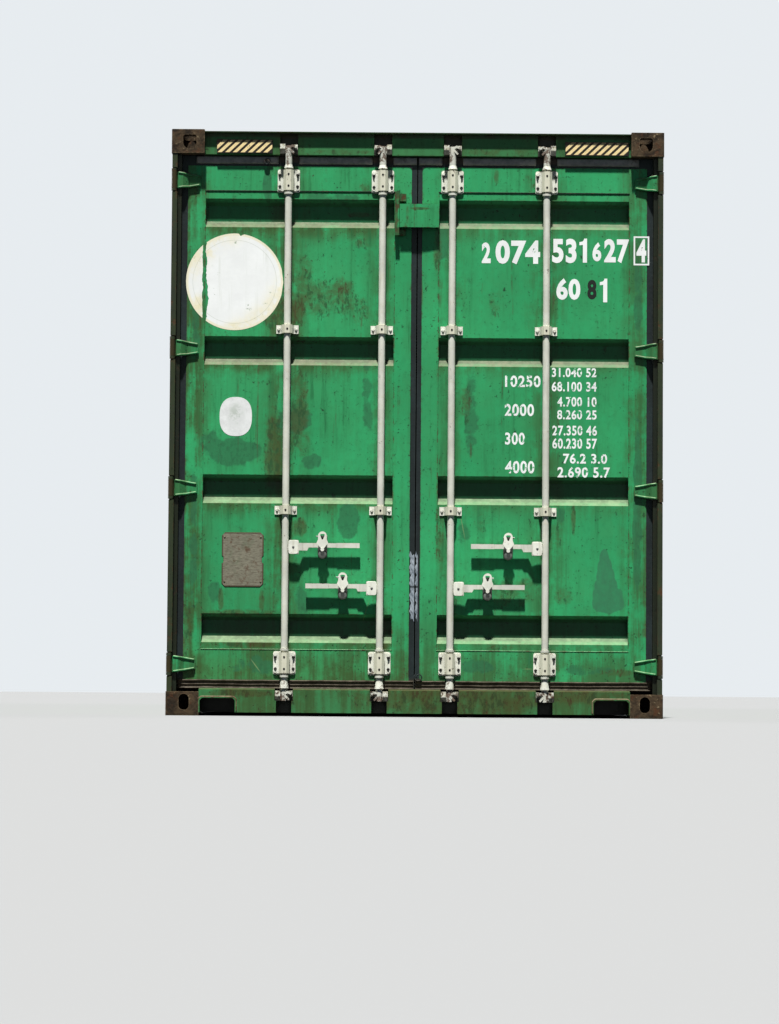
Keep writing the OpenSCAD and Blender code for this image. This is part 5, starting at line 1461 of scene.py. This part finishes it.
class CONTAINER_OT_seal_lips(bpy.types.Operator):
    """Put the gaskets' outer lips under the header and above the sill"""

    bl_idname = "container.seal_lips"
    bl_label = "Gasket lips"

    def execute(self, context):
        mirrored = [(-x1, -x0) for x0, x1 in reversed(LIP_SPANS)]
        for side, spans in (("left", mirrored), ("right", LIP_SPANS)):
            shapes = [lip(x0, x1, TOP_LIP, n) for n, (x0, x1) in enumerate(spans)]
            door_piece(side, "seal_lips", together(shapes), "lip", True)
            low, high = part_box(side + "_door_gasket")
            lower = lip(low[0] + 0.002, high[0] - 0.002, LOW_LIP, 9)
            door_piece(side, "sill_lips", lower, "sill_lip", True)
            sign = -1 if side == "left" else 1
            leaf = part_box(side + "_door_frame")
            corner = np.array([leaf[1][0] if side == "left" else leaf[0][0], leaf[1][2]])
            t = np.linspace(0, np.pi / 2, 8)
            arc = np.stack([sign * 0.020 * (1 - np.sin(t)), -0.020 * (1 - np.cos(t))], -1)
            fillet = corner + np.concatenate([[(0.0, 0.0)], arc])
            door_piece(side, "corner_fillet", plate(fillet, LEAF_Y, 0.0012), "rubber")
        return {"FINISHED"}


class CONTAINER_OT_cups(bpy.types.Operator):
    """Put the round-bottomed cups under the handle catches"""

    bl_idname = "container.cups"
    bl_label = "Retainer cups"

    def execute(self, context):
        for name, x in BAR_X.items():
            side = name.split("_")[0]
            at = (x + HANDLE_SIDE[name] * CATCH_OUT, HANDLE_Z[name] - CUP_DOWN)
            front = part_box(side + "_handle_retainers")[0][1]
            cup = copies(dome(0.0205, 0.0055, 28), [(at[0], front + 0.0026, at[1])])
            knob = copies(dome(0.0072, 0.0050, 16), [(at[0], front + 0.0006, at[1] + 0.020)])
            piece(name + "_cup", cup, "cup", side + "_door", True)
            piece(name + "_cup_knob", knob, "catch", side + "_door", True)
        return {"FINISHED"}


def curl(at, size, turn):
    """A torn lip of a gasket: a flat oval profile carried along a spiral that stands off the door.

    The spiral's radius falls from the given size to 0.45 of it over one turn and a quarter.
    """
    t = np.linspace(0, 2.5 * np.pi, 40)
    r = size * (1 - 0.55 * t / t[-1])
    spiral = np.stack([r * np.cos(t + turn), -0.004 - 0.006 * t / t[-1], r * np.sin(t + turn)], -1)
    middle = np.array(at) + spiral
    out = np.stack([np.cos(t + turn), 0 * t, np.sin(t + turn)], -1)
    a = np.linspace(0, 2 * np.pi, 8, endpoint=False)
    taper = np.clip(np.minimum(t, t[-1] - t) / 0.6, 0.25, 1.0)
    rings = (middle[:, None] + out[:, None] * (0.0028 * taper[:, None] * np.cos(a))[..., None]
             + TO_FRONT * (0.0055 * taper[:, None] * np.sin(a))[..., None])
    return loft(rings)


class CONTAINER_PT_panel(bpy.types.Panel):
    """The container's settings and pieces"""

    bl_label = "Container"
    bl_idname = "CONTAINER_PT_panel"
    bl_space_type = "VIEW_3D"
    bl_region_type = "UI"
    bl_category = "Container"

    def draw(self, context):
        for group in (getattr(context.scene, name) for name in GROUPS):
            box = self.layout.box()
            for name in group.__annotations__:
                box.prop(group, name)
        for operator in OPERATORS:
            self.layout.operator(operator.bl_idname)


GROUPS = {"container_paint": ContainerPaint, "container_marks": ContainerMarks,
          "container_light": ContainerLight}
OPERATORS = (CONTAINER_OT_stage, CONTAINER_OT_steel, CONTAINER_OT_header, CONTAINER_OT_header_stripes,
             CONTAINER_OT_door_numbers, CONTAINER_OT_door_labels, CONTAINER_OT_welds, CONTAINER_OT_rims,
             CONTAINER_OT_fasteners, CONTAINER_OT_hub_covers, CONTAINER_OT_cups, CONTAINER_OT_seal_lips,
             CONTAINER_OT_seal)
CLASSES = (*GROUPS.values(), *OPERATORS, CONTAINER_PT_panel)


def register():
    """Register the settings, the operators and the panel."""
    for cls in CLASSES:
        bpy.utils.register_class(cls)
    for name, group in GROUPS.items():
        setattr(bpy.types.Scene, name, bpy.props.PointerProperty(type=group))


def unregister():
    """Take the settings, the operators and the panel away again."""
    for name in GROUPS:
        delattr(bpy.types.Scene, name)
    for cls in reversed(CLASSES):
        bpy.utils.unregister_class(cls)


def main():
    """Dress the whole container."""
    register()
    for operator in OPERATORS:
        group, name = operator.bl_idname.split(".")
        getattr(getattr(bpy.ops, group), name)()


if __name__ == "__main__":
    main()
